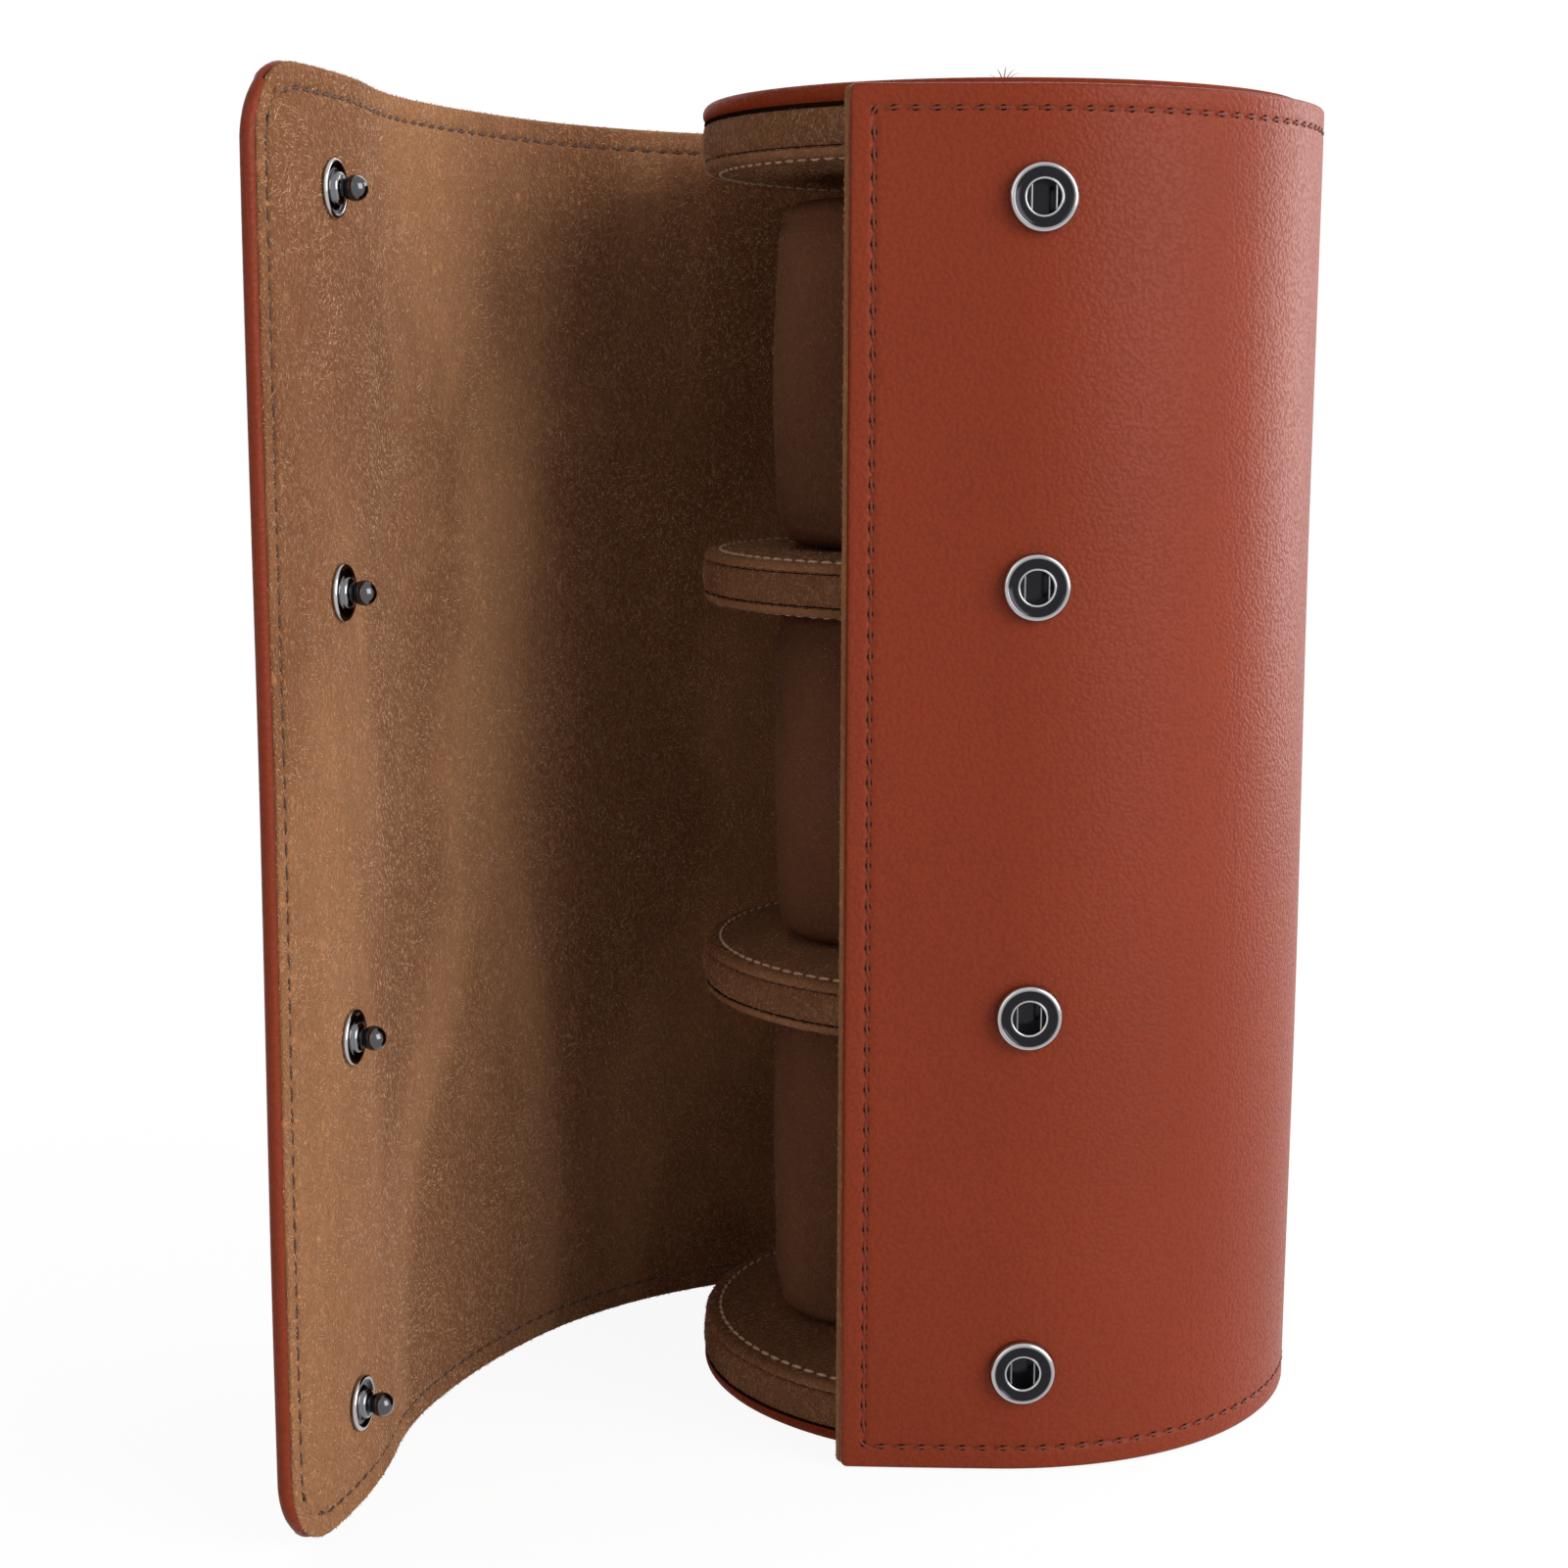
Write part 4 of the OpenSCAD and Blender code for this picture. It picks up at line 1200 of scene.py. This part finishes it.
class WATCHROLL_OT_snaps(bpy.types.Operator):
    """Turn the ball studs and spring sockets, make the straight spring wires, and plate the buttons and
    eyelets.
    """
    bl_idname = "watchroll.snaps"
    bl_label = "Snap fasteners"

    def execute(self, context):
        x, y, heading = (float(v[0]) for v in along_sheet([FOLDS[4] + TIP_RUN]))
        way = np.array([-math.sin(heading), math.cos(heading), 0.0])
        side = np.array([math.cos(heading), math.sin(heading), 0.0])
        start = -math.degrees(math.acos(STUD_PROFILE[-1][0] / STUD_BALL_R))
        arc = arc_points(0.0, STUD_BALL_H, STUD_BALL_R, start, 90.0, STUD_BALL_STEPS)
        # The ball carries a faint painted glint all over.
        profile = STUD_PROFILE + [(r, h, 0.5) for r, h in arc]
        profile[-1] = (0.0, *profile[-1][1:])
        studs = turned_metal("snap_stud_set", profile, [(x, y, z) for z in SNAP_HEIGHTS], side, way)
        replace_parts(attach(studs, "flap_tip"), "snap_studs")
        outer = ROLL_R + (context.scene.roll_sizes.lining + context.scene.roll_sizes.leather) / MM
        places = [SNAP_WAY * outer + z * UP for z in SNAP_HEIGHTS]
        sockets = turned_metal("snap_socket_set", SOCKET_PROFILE, places, -SNAP_SIDE, SNAP_WAY)
        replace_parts(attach(sockets, "front_panel"), "snap_sockets")
        wires = []
        for origin in places:
            for hand in (-1, 1):
                rings = [[(hand * SPRING_APART + SPRING_R * math.cos(t), end * SPRING_HALF,
                           SPRING_H + SPRING_R * math.sin(t)) for t in around(10)] for end in (1, -1)]
                wires.append(tube([placed(ring, origin, SNAP_SIDE, SNAP_WAY) for ring in rings]))
        springs = mesh_object("snap_spring_wires", *gathered(wires))
        springs.data.materials.append(material("Spring wire"))
        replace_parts(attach(springs, "front_panel"), "snap_springs")
        for piece, slot in ((studs, "gunmetal"), (sockets, "gunmetal"), (springs, "spring_steel")):
            sharpen(piece.data, SHARP_METAL)
        for node in ("snap_buttons", "snap_eyelets"):
            dress_cad(node, "Button metal")
        return {"FINISHED"}


# ------------------------------------------------------------------ stage


# The camera's place in metres and its turns in degrees.
EYE, EYE_TURN, EYE_TILT, EYE_ROLL = (-0.01931, -0.44126, 0.16040), 1.806, 9.565, 0.190
EYE_SHIFT = 60.0 / 1601.0
# Each light's place, aim and size in metres.
LIGHTS = (
    ("key", (0.85, -0.66, 0.50), (-0.02, 0.0, 0.1), (0.8, 0.9)),
    ("side", (0.72, 0.42, 0.25), (0.02, 0.0, 0.1), (0.45, 0.9)),
    ("back", (-0.25, 0.95, 0.50), (-0.02, 0.0, 0.1), (0.9, 0.9)),
    ("fill", (-0.75, -0.85, 0.65), (-0.03, 0.0, 0.1), (0.9, 0.9)),
)
WHITE = (1.0, 1.0, 1.0, 1.0)
# The floor's height, and how it turns white: the distances from the middle and the share of white there.
FLOOR_Z = -0.0003
FADE_FROM, FADE_TO, FADE_SHARE = 0.12, 0.7, 0.89


def area_light(name, place, aim, size, watts):
    light = bpy.data.lights.new(name, "AREA")
    light.shape, light.size, light.size_y = "RECTANGLE", *size
    light.energy = watts
    made = linked(name, light)
    made.location = place
    made.rotation_euler = Vector(np.array(aim) - np.array(place)).to_track_quat("-Z", "Y").to_euler()


def turn_by(degrees, axis):
    return Matrix.Rotation(math.radians(degrees), 4, axis)


def seen_white(tree, lit, white):
    """Shows white to the camera and to mirrors, and the lit shader to all else."""
    path = put(tree, "ShaderNodeLightPath")
    seen = math_node(tree, "MAXIMUM", path.outputs["Is Camera Ray"], path.outputs["Is Glossy Ray"])
    seen = math_node(tree, "MAXIMUM", seen, path.outputs["Is Transmission Ray"])
    return put(tree, "ShaderNodeMixShader", {0: seen, 1: lit, 2: white}).outputs[0]


class WATCHROLL_OT_stage(bpy.types.Operator):
    """Set up the camera, the soft lights, the pale floor and the white background."""
    bl_idname = "watchroll.stage"
    bl_label = "Stage"

    def execute(self, context):
        scene, values = context.scene, context.scene.roll_stage
        camera = bpy.data.cameras.new("Camera")
        camera.lens, camera.sensor_width, camera.shift_y = values.lens, 36.0, EYE_SHIFT
        camera.clip_start, camera.clip_end = 0.01, 20.0
        scene.camera = linked("Camera", camera)
        aimed = Matrix.Translation(EYE) @ turn_by(EYE_TURN, "Z") @ turn_by(90.0 - EYE_TILT, "X")
        scene.camera.matrix_world = aimed @ turn_by(EYE_ROLL, "Z")
        scene.view_settings.view_transform = "Standard"
        for name, place, aim, size in LIGHTS:
            area_light(f"{name.capitalize()} light", place, aim, size, getattr(values, name))
        self.floor()
        scene.world = scene.world or bpy.data.worlds.new("World")
        scene.world.use_nodes = True
        sky = scene.world.node_tree
        sky.nodes.clear()
        lit, white = (put(sky, "ShaderNodeBackground", {"Color": WHITE, "Strength": strength}).outputs[0]
                      for strength in (values.room, 1.0))
        put(sky, "ShaderNodeOutputWorld", {"Surface": seen_white(sky, lit, white)})
        return {"FINISHED"}

    def floor(self):
        """A wide floor that keeps the roll's shadow and fades to white."""
        mesh = bpy.data.meshes.new("Floor")
        mesh.from_pydata([(-3, -3, 0), (3, -3, 0), (3, 3, 0), (-3, 3, 0)], [], [(0, 1, 2, 3)])
        floor = linked("Floor", mesh)
        floor.location.z = FLOOR_Z
        tree, shader = new_material("Pale floor", Base_Color=(0.85, 0.85, 0.85, 1.0), Roughness=0.9,
                                    Specular_IOR_Level=0.1)
        white = put(tree, "ShaderNodeEmission", {"Color": WHITE, "Strength": 1.04}).outputs[0]
        reach = put(tree, "ShaderNodeVectorMath", {0: object_place(tree)},
                    operation="LENGTH").outputs["Value"]
        soft = put(tree, "ShaderNodeMixShader", {
            0: ramp(tree, reach, FADE_FROM, FADE_TO, FADE_SHARE, 1.0), 1: shader.outputs[0],
            2: white}).outputs[0]
        feed(tree, tree.nodes["Material Output"], Surface=seen_white(tree, shader.outputs[0], soft))
        mesh.materials.append(material("Pale floor"))


class WATCHROLL_OT_finishes(bpy.types.Operator):
    """Make the leather, suede, thread and metal finishes and the sewing trees."""
    bl_idname = "watchroll.finishes"
    bl_label = "Finishes"

    def execute(self, context):
        look = context.scene.roll_finish
        for make in (leather_grain, suede_nap, near_edge, stitch_tree, nap_tree):
            make()
        light, dark = tuple(look.suede_light), tuple(look.suede_dark)
        leather_material("Cognac leather", tuple(look.leather))
        leather_material("Cap leather", tuple(look.leather), specular=0.06, rough=0.58)
        suede_material("Lining suede", light, dark, patch=0.050, tuft=0.0006)
        suede_material("Disc suede", scaled(light, 0.92), scaled(dark, 0.92), patch=0.035, tuft=0.0005,
                       lift=-0.05)
        # The pillows' suede has its own redder tone, and is darkened further as painted shade from the panel.
        suede_material("Pillow suede", (0.255, 0.095, 0.045, 1.0), (0.088, 0.026, 0.012, 1.0), patch=0.035,
                       tuft=0.0006, lift=-0.05)
        low, high = (0.42, 0.205, 0.105, 1.0), (0.84, 0.54, 0.35, 1.0)
        fibre_material("Lining fibre", low, high)
        fibre_material("Disc fibre", scaled(low, 0.75), scaled(high, 0.8))
        # The pillows' fibres are darkened as painted shade too.
        fibre_material("Pillow fibre", scaled(low, 0.42), scaled(high, 0.52))
        thread_material("Seam thread", tuple(look.thread))
        thread_material("Lining thread", (0.085, 0.032, 0.014, 1.0))
        thread_material("Disc thread", tuple(look.disc_thread))
        thread_material("Loose thread", (0.36, 0.13, 0.07, 1.0))
        # Painted shade for the needle holes and the grooves beside the bands.
        new_material("Needle hole", Base_Color=(0.012, 0.006, 0.004, 1.0), Roughness=1.0,
                     Specular_IOR_Level=0.0)
        metal_material("Snap metal", tuple(look.metal), roughness=0.13, rim_glint=tuple(look.rim_glint))
        metal_material("Button metal", scaled(look.metal, 3.0))
        metal_material("Spring wire", (0.22, 0.22, 0.23, 1.0), roughness=0.2)
        board_material("Grey board", (0.42, 0.36, 0.28, 1.0))
        return {"FINISHED"}


class WATCHROLL_PT_panel(bpy.types.Panel):
    bl_label = "Watch Roll"
    bl_idname = "WATCHROLL_PT_panel"
    bl_space_type = "VIEW_3D"
    bl_region_type = "UI"
    bl_category = "Watch Roll"

    def draw(self, context):
        for name in GROUPS:
            group = getattr(context.scene, name)
            box = self.layout.box()
            box.label(text=name.split("_")[1].capitalize())
            for value in group.__annotations__:
                box.prop(group, value)
        for step in STEPS:
            self.layout.operator(step.bl_idname)


GROUPS = {"roll_sizes": RollSizes, "roll_finish": RollFinish, "roll_stage": RollStage}
STEPS = (
    WATCHROLL_OT_finishes, WATCHROLL_OT_leather, WATCHROLL_OT_lining, WATCHROLL_OT_seams, WATCHROLL_OT_discs,
    WATCHROLL_OT_pillows, WATCHROLL_OT_snaps, WATCHROLL_OT_stage,
)
CLASSES = (*GROUPS.values(), *STEPS, WATCHROLL_PT_panel)


def register():
    for made in CLASSES:
        bpy.utils.register_class(made)
    for name, group in GROUPS.items():
        setattr(bpy.types.Scene, name, bpy.props.PointerProperty(type=group))


def unregister():
    for name in reversed(GROUPS):
        delattr(bpy.types.Scene, name)
    for made in reversed(CLASSES):
        bpy.utils.unregister_class(made)


def main():
    register()
    bpy.ops.watchroll.finishes()
    bpy.ops.watchroll.leather()
    bpy.ops.watchroll.lining()
    bpy.ops.watchroll.seams()
    bpy.ops.watchroll.discs()
    bpy.ops.watchroll.pillows()
    bpy.ops.watchroll.snaps()
    bpy.ops.watchroll.stage()


if __name__ == "__main__":
    main()
